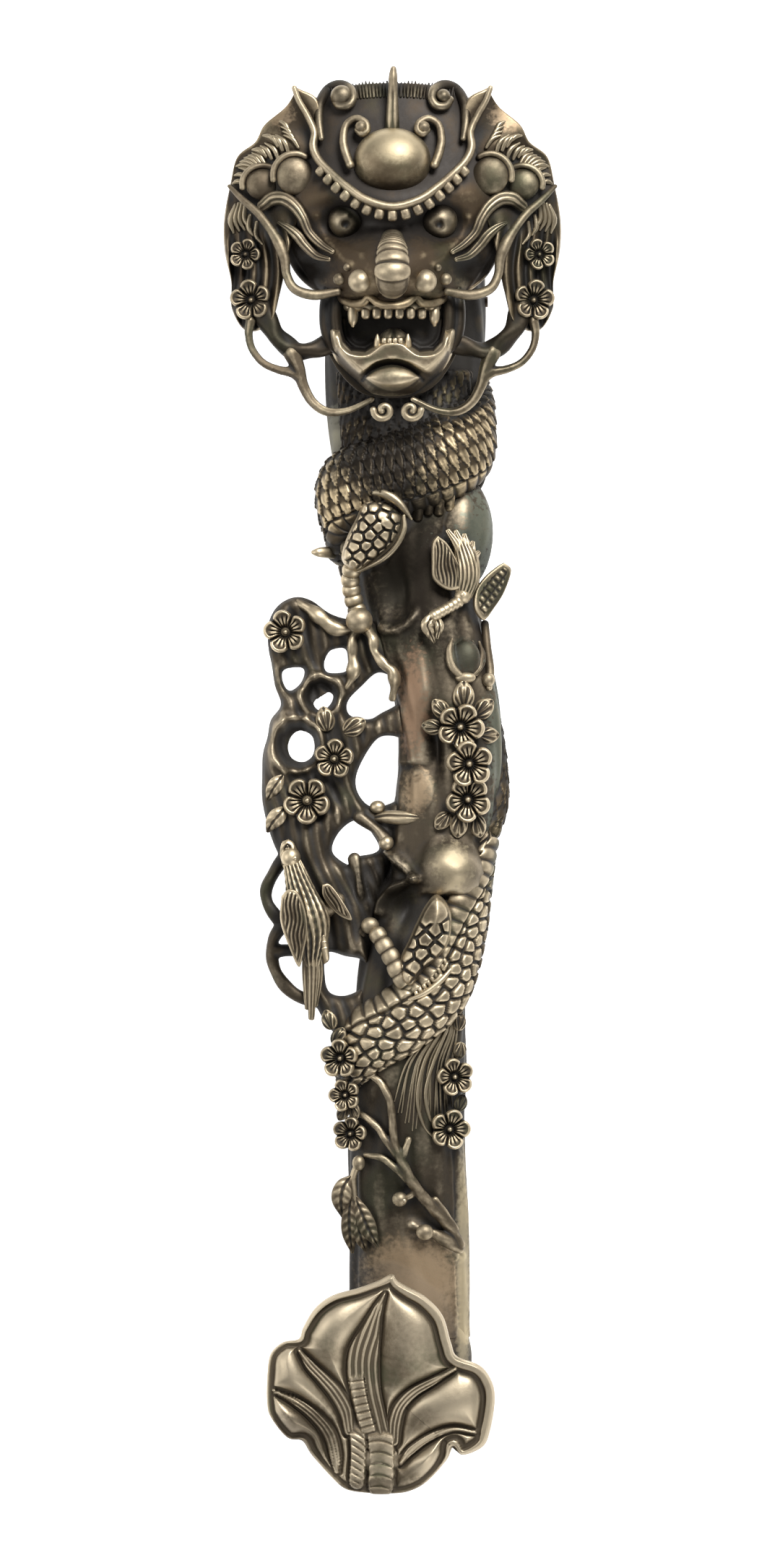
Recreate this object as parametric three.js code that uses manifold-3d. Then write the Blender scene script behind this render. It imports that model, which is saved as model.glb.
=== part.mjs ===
// Bronze ruyi scepter: a hollow plum-trunk shaft that carries a dragon's head at one end and a cloud-shaped
// leaf at the other, with the dragon's body, birds, blossoms and branches brazed on as separate castings.
// Millimetres, +Z up. It lies on its back as on a table: +Y runs from the leaf to the dragon's head, +X is on
// the right of someone who faces it, and the origin is on the table under the middle of its box.

import * as THREE from "three";
import { mergeVertices } from "three/addons/utils/BufferGeometryUtils.js";
import Module from "manifold-3d";

const wasm = await Module();
wasm.setup();

// Brazing gap between neighbouring castings
const seam = 0.3;

// Trunk: a hollow oval shaft, narrowest at its waist, that sways to the right and arches off the table
const trunkTopY = 150;
const trunkWaistY = 9;
const trunkFootY = -165;
const trunkTopHalfWidth = 24;
const trunkWaistHalfWidth = 15;
const trunkFootHalfWidth = 18;
const trunkTopHalfDepth = 13;
const trunkWaistHalfDepth = 10.5;
const trunkFootHalfDepth = 10.5;
const trunkWall = 3;
const trunkTopLean = 3.5;
const trunkFootLean = 5;
const trunkSway = 13.5;
const trunkSwaySpan = 42;
const archRise = 14;
const knotRadius = 9.5;

// Elbows that plug into the trunk's two mouths, and the rivets across them
const tenonLength = 14;
const rivetRadius = 1.6;
const restFlatDepth = 2.5;

// Head: a mask on the neck elbow. Its own frame starts at the middle of the mask's back
const headX = 0;
const headAboveTrunk = 22;
const headLift = 36;
const maskHalfWidth = 33;
const maskUp = 34;
const maskDown = 31;
const maskWall = 6;
const domeHeight = 15;
const muzzleHeight = 17;
const jawHalfWidth = 18.5;
const jawUp = 20;
const jawDown = 11;
const jawBelowMask = 48;
const lipHeight = 13;
const eyeRadius = 4.4;
const nostrilRadius = 3.4;
const pearlHalfWidth = 11;
const pearlHalfHeight = 9.8;
const toothCount = 10;
const toothLength = 4.6;
const manePlateThickness = 4.5;

// Dragon's body round the trunk
const upperCoilHalfWidth = 12.5;
const lowerCoilHalfWidth = 10;
const coilFlatness = 0.55;
const knuckleRadius = 3.5;

// Branches, blossoms and birds
const latticeLift = 1.5;
const blossomCup = 0.42;
const flyingBirdLift = 3.2;
const perchedBirdLift = 6;
const seatLean = 0.6;
const twigRadius = 1.7;

// Leaf: a dished plate with a rim on the tail elbow. Ribs that gather into a root part its lobes into pillows
const leafX = -3;
const leafBelowTrunk = 13;
const leafLift = 36;
const leafSlope = 0.18;
const leafThickness = 4;
const leafRimHeight = 1.4;
const leafDishDepth = 2.8;
const pillowHeight = 5;
const ribHeight = 2.4;

const degree = Math.PI / 180;
const upward = new THREE.Vector3(0, 0, 1);
const sideways = new THREE.Vector3(1, 0, 0);

function metal(colour, roughness) {
  return new THREE.MeshStandardMaterial({ color: colour, roughness, metalness: 1 });
}
const wornBronze = metal(0xa8987a, 0.36);
const brownBronze = metal(0x6f6050, 0.42);
const darkBronze = metal(0x4d4438, 0.5);
const copper = metal(0x8c6a50, 0.4);

// Small curves that the shapes share

function smooth(low, high, value) {
  const share = THREE.MathUtils.clamp((value - low) / (high - low), 0, 1);
  return share * share * (3 - 2 * share);
}

function hill(x, y, halfWidth, halfHeight) {
  return Math.exp(-((x / halfWidth) ** 2) - (y / halfHeight) ** 2);
}

function dome(x, y, halfWidth, halfHeight) {
  return Math.sqrt(Math.max(0, 1 - (x / halfWidth) ** 2 - (y / halfHeight) ** 2));
}

function at(x, y, z) {
  return new THREE.Vector3(x, y, z);
}

// A closed skin over rings of points. A fan on the middle of the first and last ring closes its ends.
function skin(rings) {
  const count = rings[0].length;
  const points = rings.flat();
  const faces = [];
  for (let ring = 0; ring + 1 < rings.length; ring++) {
    for (let k = 0; k < count; k++) {
      const a = ring * count + k;
      const b = ring * count + ((k + 1) % count);
      faces.push(a, b, b + count, a, b + count, a + count);
    }
  }
  for (const end of [0, rings.length - 1]) {
    const middle = points.length;
    const sum = rings[end].reduce((total, point) => total.add(point), at(0, 0, 0));
    points.push(sum.divideScalar(count));
    for (let k = 0; k < count; k++) {
      const a = end * count + k;
      const b = end * count + ((k + 1) % count);
      faces.push(middle, ...(end === 0 ? [b, a] : [a, b]));
    }
  }
  const geometry = new THREE.BufferGeometry().setFromPoints(points);
  geometry.setIndex(faces);
  return geometry;
}

// A tapered bar with round ends along a smooth path. ups gives the direction of its thickness at each point.
function horn(points, radii, grow, { sides = 6, flat = 1, ups = [upward], steps } = {}) {
  steps ??= points.length > 4 ? 1 : 2;
  const path = new THREE.CatmullRomCurve3(points);
  const between = (list, t) => {
    const place = t * (list.length - 1);
    const low = Math.min(Math.floor(place), Math.max(list.length - 2, 0));
    return [list[low], list[Math.min(low + 1, list.length - 1)], place - low];
  };
  const ringAt = (t, scale, push) => {
    const [r0, r1, share] = between(radii, t);
    const radius = THREE.MathUtils.lerp(r0, r1, share);
    const [u0, u1, upShare] = between(ups, t);
    const up = u0.clone().lerp(u1, upShare);
    const along = path.getTangent(t);
    const side = at(0, 0, 0).crossVectors(along, up).normalize();
    const lift = at(0, 0, 0).crossVectors(side, along);
    const halfWidth = radius + grow;
    const halfThickness = radius * flat + grow;
    const centre = path.getPoint(t).addScaledVector(along, push * Math.min(halfWidth, halfThickness));
    return Array.from({ length: sides }, (_, k) => {
      const angle = ((k + 0.5) / sides) * 2 * Math.PI;
      return centre
        .clone()
        .addScaledVector(side, Math.cos(angle) * halfWidth * scale)
        .addScaledVector(lift, Math.sin(angle) * halfThickness * scale);
    });
  };
  const count = steps * (points.length - 1);
  const rings = Array.from({ length: count + 1 }, (_, k) => ringAt(k / count, 1, 0));
  return skin([ringAt(0, 0.6, -0.7), ...rings, ringAt(1, 0.6, 0.7)]);
}

// An ellipsoid, turned in the XY plane
function bead(centre, size, grow, { turn = 0, columns = 10, rows = 6 } = {}) {
  return new THREE.SphereGeometry(1, columns, rows)
    .scale(size.x + grow, size.y + grow, size.z + grow)
    .rotateZ(turn * degree)
    .translate(centre.x, centre.y, centre.z);
}

function ball(centre, radius, grow, shape) {
  return bead(centre, at(radius, radius, radius), grow, shape);
}

// A plate over a star-shaped outline. top and bottom give its faces from x, y and the share of the way out
function dish(outline, shares, top, bottom, grow) {
  const ring = (share, height, lift) =>
    outline.map((edge) => {
      const reach = share * (1 + grow / edge.length());
      const x = edge.x * reach;
      const y = edge.y * reach;
      return at(x, y, height(x, y, share) + lift);
    });
  const under = shares.map((share) => ring(share, bottom, -grow));
  const over = shares.map((share) => ring(share, top, grow)).reverse();
  return skin([...under, ...over]);
}

function roundOutline(sectors, reach) {
  return Array.from({ length: sectors }, (_, k) => {
    const angle = (k / sectors) * 2 * Math.PI;
    const radius = reach(angle);
    return new THREE.Vector2(radius * Math.cos(angle), radius * Math.sin(angle));
  });
}

function squareOval(halfWidth, up, down, power) {
  return (angle) => {
    const halfHeight = Math.sin(angle) > 0 ? up : down;
    const across = Math.abs(Math.cos(angle) / halfWidth) ** power;
    const along = Math.abs(Math.sin(angle) / halfHeight) ** power;
    return (across + along) ** (-1 / power);
  };
}

// Solids and seats

function solidOf(geometry) {
  const bare = geometry.clone();
  bare.deleteAttribute("normal");
  bare.deleteAttribute("uv");
  const merged = mergeVertices(bare, 1e-4);
  const build = (triVerts) =>
    new wasm.Manifold(
      new wasm.Mesh({ numProp: 3, vertProperties: merged.attributes.position.array, triVerts }),
    );
  const faces = new Uint32Array(merged.index.array);
  const solid = build(faces);
  return solid.volume() < 0 ? build(faces.reverse()) : solid;
}

function joined(geometries, place) {
  return geometries
    .map((geometry) => solidOf(geometry.clone().applyMatrix4(place)))
    .reduce((whole, solid) => whole.add(solid));
}

function geometryOf(solid) {
  const { vertProperties, triVerts } = solid.getMesh();
  const geometry = new THREE.BufferGeometry();
  geometry.setAttribute("position", new THREE.BufferAttribute(vertProperties.slice(), 3));
  geometry.setIndex(new THREE.BufferAttribute(triVerts.slice(), 1));
  return geometry;
}

function largestBody(solid) {
  return solid.decompose().reduce((best, body) => (body.volume() > best.volume() ? body : best));
}

function boxesMeet(a, b) {
  return [0, 1, 2].every((axis) => a.min[axis] <= b.max[axis] && b.min[axis] <= a.max[axis]);
}

const scepter = new THREE.Group();
const castings = [];
const atOrigin = new THREE.Matrix4();

// Adds one casting. shape(grow) lists the forms that it joins, larger all round by grow, and hollow(grow)
// what is cut out of it. It is then cut back by a seam from each casting that is already there.
function add(name, finish, shape, { hollow, place = atOrigin } = {}) {
  const build = (grow) => {
    const outside = joined(shape(grow), place);
    return hollow ? outside.subtract(joined(hollow(grow), place)) : outside;
  };
  let solid = build(0);
  const box = solid.boundingBox();
  for (const casting of castings) {
    if (boxesMeet(box, casting.box)) solid = solid.subtract(casting.grown);
  }
  const geometry = geometryOf(largestBody(solid)).applyMatrix4(place.clone().invert());
  const mesh = new THREE.Mesh(geometry, finish);
  mesh.name = name;
  place.decompose(mesh.position, mesh.quaternion, mesh.scale);
  scepter.add(mesh);
  const grown = build(seam);
  castings.push({ grown, box: grown.boundingBox() });
}

// A piece and its mirror image across the middle of the head or trunk: side is -1 on the left, 1 on the right
function addPair(name, finish, shape, options) {
  for (const [word, side] of [["left", -1], ["right", 1]]) {
    add(`${name}_${word}`, finish, (grow) => shape(side, grow), options);
  }
}

// Trunk surface

function alongTrunk(y, top, waist, foot) {
  return y > trunkWaistY
    ? THREE.MathUtils.lerp(waist, top, smooth(trunkWaistY, trunkTopY, y))
    : THREE.MathUtils.lerp(waist, foot, smooth(trunkWaistY, trunkFootY, y));
}

function trunkCentreX(y) {
  const lean = THREE.MathUtils.lerp(trunkFootLean, trunkTopLean, smooth(trunkFootY, trunkTopY, y));
  return lean + trunkSway * Math.exp(-(((y - trunkWaistY) / trunkSwaySpan) ** 2));
}

function trunkHalfWidth(y) {
  return alongTrunk(y, trunkTopHalfWidth, trunkWaistHalfWidth, trunkFootHalfWidth);
}

function trunkHalfDepth(y) {
  return alongTrunk(y, trunkTopHalfDepth, trunkWaistHalfDepth, trunkFootHalfDepth);
}

function trunkCentreZ(y) {
  const middle = (trunkTopY + trunkFootY) / 2;
  const share = (y - middle) / (trunkTopY - middle);
  return archRise * (1 - share ** 2) + trunkHalfDepth(y);
}

// A point at a turn round the trunk, 0 at the front and 90 on the right, lifted off its surface
function trunkPoint(y, turn, lift) {
  const sine = Math.sin(turn * degree);
  const cosine = Math.cos(turn * degree);
  return at(
    trunkCentreX(y) + (trunkHalfWidth(y) + lift) * sine,
    y,
    trunkCentreZ(y) + (trunkHalfDepth(y) + lift) * cosine,
  );
}

function trunkNormal(y, turn) {
  const sine = Math.sin(turn * degree);
  const cosine = Math.cos(turn * degree);
  return at(sine / trunkHalfWidth(y), 0, cosine / trunkHalfDepth(y)).normalize();
}

// The turn at which the trunk's front is a share of its half width across, or its edge if that is past it
function turnAt(share, y, lift) {
  const sine = (share * trunkHalfWidth(y)) / (trunkHalfWidth(y) + lift);
  return Math.asin(THREE.MathUtils.clamp(sine, -1, 1)) / degree;
}

function onTrunk(share, y, lift) {
  return trunkPoint(y, turnAt(share, y, lift), lift);
}

function trunkRing(y, grow, sides) {
  return Array.from({ length: sides }, (_, k) => trunkPoint(y, (k / sides) * 360, grow));
}

function trunkLength(fromY, toY, spacing, grow, sides) {
  const count = Math.ceil((toY - fromY) / spacing);
  const rings = Array.from({ length: count + 1 }, (_, k) =>
    trunkRing(THREE.MathUtils.lerp(fromY, toY, k / count), grow, sides),
  );
  return skin(rings);
}

// A frame whose Z axis leaves the trunk's surface and leans to the front, for what is seated there
function trunkSeat(share, y, lift) {
  const turn = turnAt(share, y, lift);
  const normal = trunkNormal(y, turn).lerp(upward, seatLean).normalize();
  const turned = new THREE.Quaternion().setFromUnitVectors(upward, normal);
  return new THREE.Matrix4().compose(trunkPoint(y, turn, lift), turned, at(1, 1, 1));
}

// Rivets, trunk and elbows

const neckRivetY = trunkTopY - tenonLength / 2;
const tailRivetY = trunkFootY + tenonLength / 2;

function rivet(y, grow) {
  const length = 2 * (trunkHalfWidth(y) + grow);
  return new THREE.CylinderGeometry(rivetRadius + grow, rivetRadius + grow, length, 10)
    .rotateZ(90 * degree)
    .translate(trunkCentreX(y), y, trunkCentreZ(y));
}
add("neck_rivet", copper, (grow) => [rivet(neckRivetY, grow)]);
add("tail_rivet", copper, (grow) => [rivet(tailRivetY, grow)]);

function trunkKnots(grow) {
  const burl = onTrunk(0.42, -26, -3);
  const sideBurl = onTrunk(1.03, 76, -2);
  const fold = onTrunk(-0.74, -29, -3);
  return [
    bead(burl, at(knotRadius * 0.95, knotRadius * 0.75, knotRadius * 0.6), grow, { columns: 12 }),
    bead(sideBurl, at(knotRadius * 0.9, knotRadius * 1.6, knotRadius), grow),
    bead(fold, at(knotRadius * 0.85, knotRadius * 1.4, knotRadius * 0.85), grow),
  ];
}
add(
  "trunk_shell",
  brownBronze,
  (grow) => [trunkLength(trunkFootY - grow, trunkTopY + grow, 20, grow, 16), ...trunkKnots(grow)],
  {
    hollow: (grow) => [
      trunkLength(trunkFootY - tenonLength, trunkTopY + tenonLength, 40, -trunkWall - grow, 12),
    ],
  },
);

// An elbow's tenon fills the trunk's mouth, and its bend carries what stands in front of the trunk
function tenon(mouthY, inward, grow) {
  const ends = [mouthY + inward * tenonLength, mouthY - inward * 2 * seam].sort((a, b) => a - b);
  return trunkLength(ends[0], ends[1], tenonLength, grow - trunkWall - seam, 12);
}

function tableTop() {
  const wide = 4 * trunkTopY;
  return new THREE.BoxGeometry(wide, wide, wide).translate(0, 0, -wide / 2);
}

const headY = trunkTopY + headAboveTrunk;
add(
  "neck_elbow",
  darkBronze,
  (grow) => {
    const x = trunkCentreX(trunkTopY);
    const z = trunkCentreZ(trunkTopY);
    const bend = [
      at(x, trunkTopY + seam, z),
      at(x, trunkTopY + headAboveTrunk * 0.4, z - restFlatDepth),
      at((x + headX) / 2, headY - 3, z + 4),
      at(headX, headY + 2, (z + headLift) / 2 + 3),
      at(headX, headY + 2, headLift + domeHeight / 2),
    ];
    const halfWidths = [trunkTopHalfWidth, 23, 21, 18, 16];
    const elbow = horn(bend, halfWidths, grow, {
      sides: 14,
      flat: trunkTopHalfDepth / trunkTopHalfWidth,
      ups: [upward, upward, at(0, -0.6, 0.8), at(0, -1, 0.2), at(0, -1, 0)],
    });
    return [elbow, tenon(trunkTopY, -1, grow)];
  },
  { hollow: () => [tableTop()] },
);

const tailY = trunkFootY - leafBelowTrunk;
const stemLength = 28;
add(
  "tail_elbow",
  brownBronze,
  (grow) => {
    const x = trunkCentreX(trunkFootY);
    const z = trunkCentreZ(trunkFootY);
    const bend = [
      at(x, trunkFootY - seam, z),
      at(x - 1, trunkFootY - 9, z - restFlatDepth),
      at(x - 4, tailY - 8, z + 2),
      at(leafX - 1, tailY - stemLength + 9, (z + leafLift) / 2 - 3),
      at(leafX - 1, tailY - stemLength + 7, leafLift - 2),
    ];
    const halfWidths = [trunkFootHalfWidth, 18, 14, 10.5, 8.5];
    const elbow = horn(bend, halfWidths, grow, {
      sides: 14,
      flat: trunkFootHalfDepth / trunkFootHalfWidth,
      ups: [upward, upward, at(0, 0.6, 0.8), at(0, 1, 0.3), at(0, 1, 0)],
    });
    return [elbow, tenon(trunkFootY, 1, grow)];
  },
  { hollow: () => [tableTop()] },
);

// Dragon's body: three lengths of one coil, each laid on the trunk at stations of y, turn and lift

function coil(stations, halfWidths, grow, steps) {
  return horn(
    stations.map(([y, turn, lift = 0]) => trunkPoint(y, turn, lift)),
    halfWidths,
    grow,
    { sides: 10, steps, flat: coilFlatness, ups: stations.map(([y, turn]) => trunkNormal(y, turn)) },
  );
}
const upperWidth = upperCoilHalfWidth;
const lowerWidth = lowerCoilHalfWidth;
const upperStations = [
  [118, 140, -3], [108, 105, -2.5], [102, 72, -1.5], [97, 38], [92, 4], [88, -40], [83, -80], [74, -125],
];
const backStations = [[68, -142], [48, -170], [22, -195, -1], [-2, -220, -2], [-14, -234, -3]];
const lowerStations = [
  [-18, 118, -3], [-28, 92, -2], [-41, 64, -1], [-60, 31], [-70, -8], [-76, -47], [-82, -90], [-86, -130],
];
add("dragon_coil_upper", wornBronze, (grow) => [coil(upperStations, [upperWidth], grow, 2)]);
add("dragon_coil_lower", wornBronze, (grow) => [coil(lowerStations, [lowerWidth], grow, 2)]);
add("dragon_coil_back", darkBronze, (grow) => [coil(backStations, [upperWidth, lowerWidth], grow, 1)]);

// Head. Sizes from here to the blossoms are in its own frame: u to the right, v up from the mask's middle

const headFrame = new THREE.Matrix4().makeTranslation(headX, headY, headLift);
const inHead = { place: headFrame };

function faceHeight(u, v) {
  const muzzle = muzzleHeight * hill(u, v + 23, 15, 11);
  const brow = 5 * hill(u, v + 1, 26, 7);
  const sockets = 4 * hill(Math.abs(u) - 14.5, v + 7.5, 6, 5);
  return domeHeight * dome(u, v - 1, maskHalfWidth + 1, maskUp + 3) + muzzle + brow - sockets;
}

function onFace(u, v, lift) {
  return at(u, v, faceHeight(u, v) + lift);
}

const maskOutline = roundOutline(28, squareOval(maskHalfWidth, maskUp, maskDown, 3));
add(
  "face_mask",
  wornBronze,
  (grow) => {
    const top = (u, v) => Math.max(faceHeight(u, v), 4);
    const back = (u, v) => Math.max(faceHeight(u, v) - maskWall, 0);
    return [dish(maskOutline, [0.35, 0.65, 0.88, 1], top, back, grow)];
  },
  inHead,
);

const jawOutline = roundOutline(24, squareOval(jawHalfWidth, jawUp, jawDown, 2.6));
const jawFrame = headFrame.clone().multiply(new THREE.Matrix4().makeTranslation(0, -jawBelowMask, 2));
add(
  "lower_jaw",
  wornBronze,
  (grow) => {
    const top = (u, v, share) => {
      const towardsMouth = v / Math.hypot(u, v);
      const lip = lipHeight * smooth(0.35, 0.85, share) * smooth(0.8, 0.1, towardsMouth);
      return 4 + lip + 5 * hill(u, v + 5, 8, 4);
    };
    return [dish(jawOutline, [0.35, 0.6, 0.85, 1], top, () => 0, grow)];
  },
  { place: jawFrame },
);
add("tongue", wornBronze, (grow) => [bead(at(0.5, 5, 6), at(6.5, 6, 5), grow)], { place: jawFrame });

add("nose", wornBronze, (grow) => {
  const bridge = [onFace(0, -11, 0), onFace(0, -16, 1), onFace(0, -22, 1.5), onFace(0, -27, 1)];
  const wings = [-9.6, 0, 9.6].map((u) => onFace(u, -25.4, 0.5));
  return [
    horn(bridge, [3, 4, 5, 5.2], grow, { sides: 8, flat: 0.8 }),
    horn(wings, [2.6, 2, 2.6], grow),
    ball(wings[0], nostrilRadius, grow, { columns: 8 }),
    ball(wings[2], nostrilRadius, grow, { columns: 8 }),
  ];
}, inHead);
addPair("eye", darkBronze, (side, grow) => [ball(onFace(14.5 * side, -7, 2), eyeRadius, grow)], inHead);

add("upper_teeth", wornBronze, (grow) => {
  const gumV = -maskDown - 0.8;
  const across = 13;
  const gumLift = faceHeight(0, -maskDown + 2) - 6;
  const gumLine = (u) => gumLift - 6 * (u / across) ** 2;
  const gum = [-across, -across / 2, 0, across / 2, across].map((u) => at(u, gumV + 0.8, gumLine(u)));
  const pitch = (2 * across) / (toothCount - 1);
  const teeth = Array.from({ length: toothCount }, (_, k) => {
    const u = -across + k * pitch;
    const fang = k === 0 || k === toothCount - 1 ? 1.35 : 1;
    const length = toothLength * fang;
    const tooth = new THREE.CylinderGeometry(pitch * 0.42 + grow, 0.7 + grow, length + grow, 5);
    return tooth.translate(u, gumV - length / 2, gumLine(u));
  });
  return [horn(gum, [2], grow), ...teeth];
}, inHead);

add("forehead_pearl", wornBronze, (grow) => {
  const size = at(pearlHalfWidth, pearlHalfHeight, 9);
  return [bead(onFace(0, 10.5, -0.5), size, grow, { columns: 16, rows: 10 })];
}, inHead);
add("brow_crest", wornBronze, (grow) => {
  const half = [[29, 32], [24.5, 24], [22.3, 14], [17.5, 5.5], [9, -2]];
  const left = half.map(([u, v]) => onFace(-u, v, 1));
  const right = half.map(([u, v]) => onFace(u, v, 1)).reverse();
  const points = [...left, onFace(0, -5, 1), ...right];
  return [horn(points, [1.4, 2, 2.4, 2.8, 3, 3, 3, 2.8, 2.4, 2, 1.4], grow, { flat: 1.1 })];
}, inHead);
add("crown_spike", wornBronze, (grow) => {
  const points = [onFace(0, 20, 0), onFace(0, 27, 3), at(0.3, 37.8, faceHeight(0, 27) + 4)];
  return [horn(points, [2.2, 1.8, 0.8], grow, { flat: 1.6 })];
}, inHead);
addPair("inner_curl", wornBronze, (side, grow) => {
  const path = [[12.5, 11], [14.8, 17], [13.5, 21.8], [9.8, 22.3], [7.9, 19.6], [9.6, 18.2]];
  return [horn(path.map(([u, v]) => onFace(u * side, v, 2)), [1.5, 1.6, 1.4, 1.4, 1.5, 1.7], grow)];
}, inHead);
addPair("outer_curl", wornBronze, (side, grow) => {
  const path = [[20.5, 18], [21, 26], [18.5, 32.2], [14.2, 32], [12.6, 28.8], [15, 28]];
  return [horn(path.map(([u, v]) => onFace(u * side, v, 2)), [1.8, 2.2, 2.2, 2.1, 2, 2.2], grow)];
}, inHead);

// Mane plates and the curls, fins and whiskers between them and the face

const maneMiddle = new THREE.Vector2(39, -4);
const maneEdge = [
  [-28, 32], [-35, 27.5], [-40.5, 20.5], [-46.5, 12.5], [-48.5, 3], [-50, -8], [-49, -20], [-46.5, -32],
  [-42, -38.5], [-36, -36.5], [-33, -27], [-30, -13], [-25, 2], [-22, 17], [-22, 28],
].map(([u, v]) => at(u + maneMiddle.x, v - maneMiddle.y, 0));

function maneHeight(u) {
  return 9 - 8 * smooth(26, 52, Math.abs(u));
}

addPair("mane_plate", darkBronze, (side, grow) => {
  const loop = new THREE.CatmullRomCurve3(maneEdge, true).getSpacedPoints(30).slice(0, -1);
  const outline = loop.map((point) => new THREE.Vector2(-point.x * side, point.y));
  const top = (u) => maneHeight(u + maneMiddle.x * side);
  const plate = dish(outline, [0.4, 0.75, 1], top, (u) => top(u) - manePlateThickness, grow);
  return [plate.translate(maneMiddle.x * side, maneMiddle.y, 0)];
}, inHead);
addPair("cheek_cloud", wornBronze, (side, grow) => {
  const outer = at(38.3 * side, 5, maneHeight(38.3));
  const inner = at(28.6 * side, 7, maneHeight(28.6) + 2);
  return [
    bead(outer, at(5.4, 5, 4), grow, { columns: 8 }),
    bead(inner, at(5.9, 6, 5), grow, { columns: 8 }),
    horn([outer, inner], [3], grow),
  ];
}, inHead);
addPair("cheek_whisker", wornBronze, (side, grow) => {
  const path = [[48.5, 4.5], [38.6, -5.5], [32.8, -15.5], [31.6, -24], [26, -29], [16.5, -28.5]];
  const heights = [4, 9, 11, 12, 14, faceHeight(16.5, -28.5) + 1];
  const points = path.map(([u, v], k) => at(u * side, v, heights[k]));
  return [horn(points, [1, 1.7, 2, 2.3, 2, 1.6], grow)];
}, inHead);
addPair("cheek_fin", wornBronze, (side, grow) => {
  const upper = [[38.5, -1.5], [32.5, -0.5], [27, -5], [22, -12], [17, -17]];
  const lower = [[34, -8], [28.5, -11.5], [23, -16], [17, -17]];
  const height = (u, v) => Math.max(faceHeight(u, v), maneHeight(u)) + 1;
  const fin = (path, radii) => horn(path.map(([u, v]) => at(u * side, v, height(u, v))), radii, grow);
  return [fin(upper, [1.2, 2.2, 2, 1.8, 1.4]), fin(lower, [1.2, 1.8, 1.8, 1.4])];
}, inHead);

// Open loops of beard that tie the mane's lower tips to the jaw
addPair("beard_loop", wornBronze, (side, grow) => {
  const loop = (path, radii) => horn(path.map(([u, v]) => at(u * side, v, 5)), radii, grow);
  return [
    loop([[41, -36], [43, -44], [38.5, -49.5], [30, -51.5], [27.5, -53]], [2.4, 1.8, 2, 2.2, 2.4]),
    loop([[34, -35], [33.5, -40], [29.5, -45.5], [24, -44], [16, -41]], [2.4, 2.8, 3, 2.8, 2.8]),
    loop([[29.5, -45.5], [28, -53], [25.5, -59], [20, -63.2], [13, -62.5], [6, -59]],
      [2.4, 2, 1.9, 1.6, 1.4, 1.2]),
  ];
}, inHead);
add("chin_curls", wornBronze, (grow) => {
  const rootV = -jawBelowMask - jawDown;
  const path = [[0, 1], [0.8, -1.5], [2, -5], [5, -6.6], [7, -4.4], [5, -3]];
  const curl = (side) =>
    horn(path.map(([u, v]) => at(1.3 + u * side, rootV + v, 9)), [2.6, 2.2, 1.6, 1.5, 1.5, 1.6], grow);
  return [curl(-1), curl(1)];
}, inHead);

// Blossoms: five cupped petals on a short stalk. Each sits in a frame whose Z axis is its stalk

function blossom(radius, stalk, grow) {
  const outline = roundOutline(20, (angle) => radius * (0.8 + 0.2 * Math.abs(Math.cos(2.5 * angle))));
  const top = (x, y, share) => radius * blossomCup * share ** 2;
  const bottom = (x, y, share) => radius * (blossomCup * share ** 2 - 0.18) - stalk * (1 - share);
  return [dish(outline, [0.3, 1], top, bottom, grow)];
}

function addBlossom(name, radius, stalk, seat) {
  add(name, wornBronze, (grow) => blossom(radius, stalk, grow), { place: seat });
}

for (const [word, side] of [["left", -1], ["right", 1]]) {
  for (const [level, u, v, radius] of [["upper", 43.5, -16.5, 4.7], ["lower", 41.6, -30, 6.2]]) {
    const seat = headFrame.clone().multiply(
      new THREE.Matrix4().makeTranslation(u * side, v, maneHeight(u) + 1),
    );
    addBlossom(`mane_blossom_${level}_${word}`, radius, 3, seat);
  }
}

// Branch lattice on the trunk's left: bars, rings and a thick stump joined in one casting

const latticeZ = trunkCentreZ(trunkWaistY) + latticeLift;

function latticePoints(path) {
  return path.map(([x, y, rise = 0]) => at(x, y, latticeZ + rise));
}

function trunkSide(y, rise) {
  return [trunkPoint(y, -90, -trunkWall / 2).x, y, rise];
}

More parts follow.
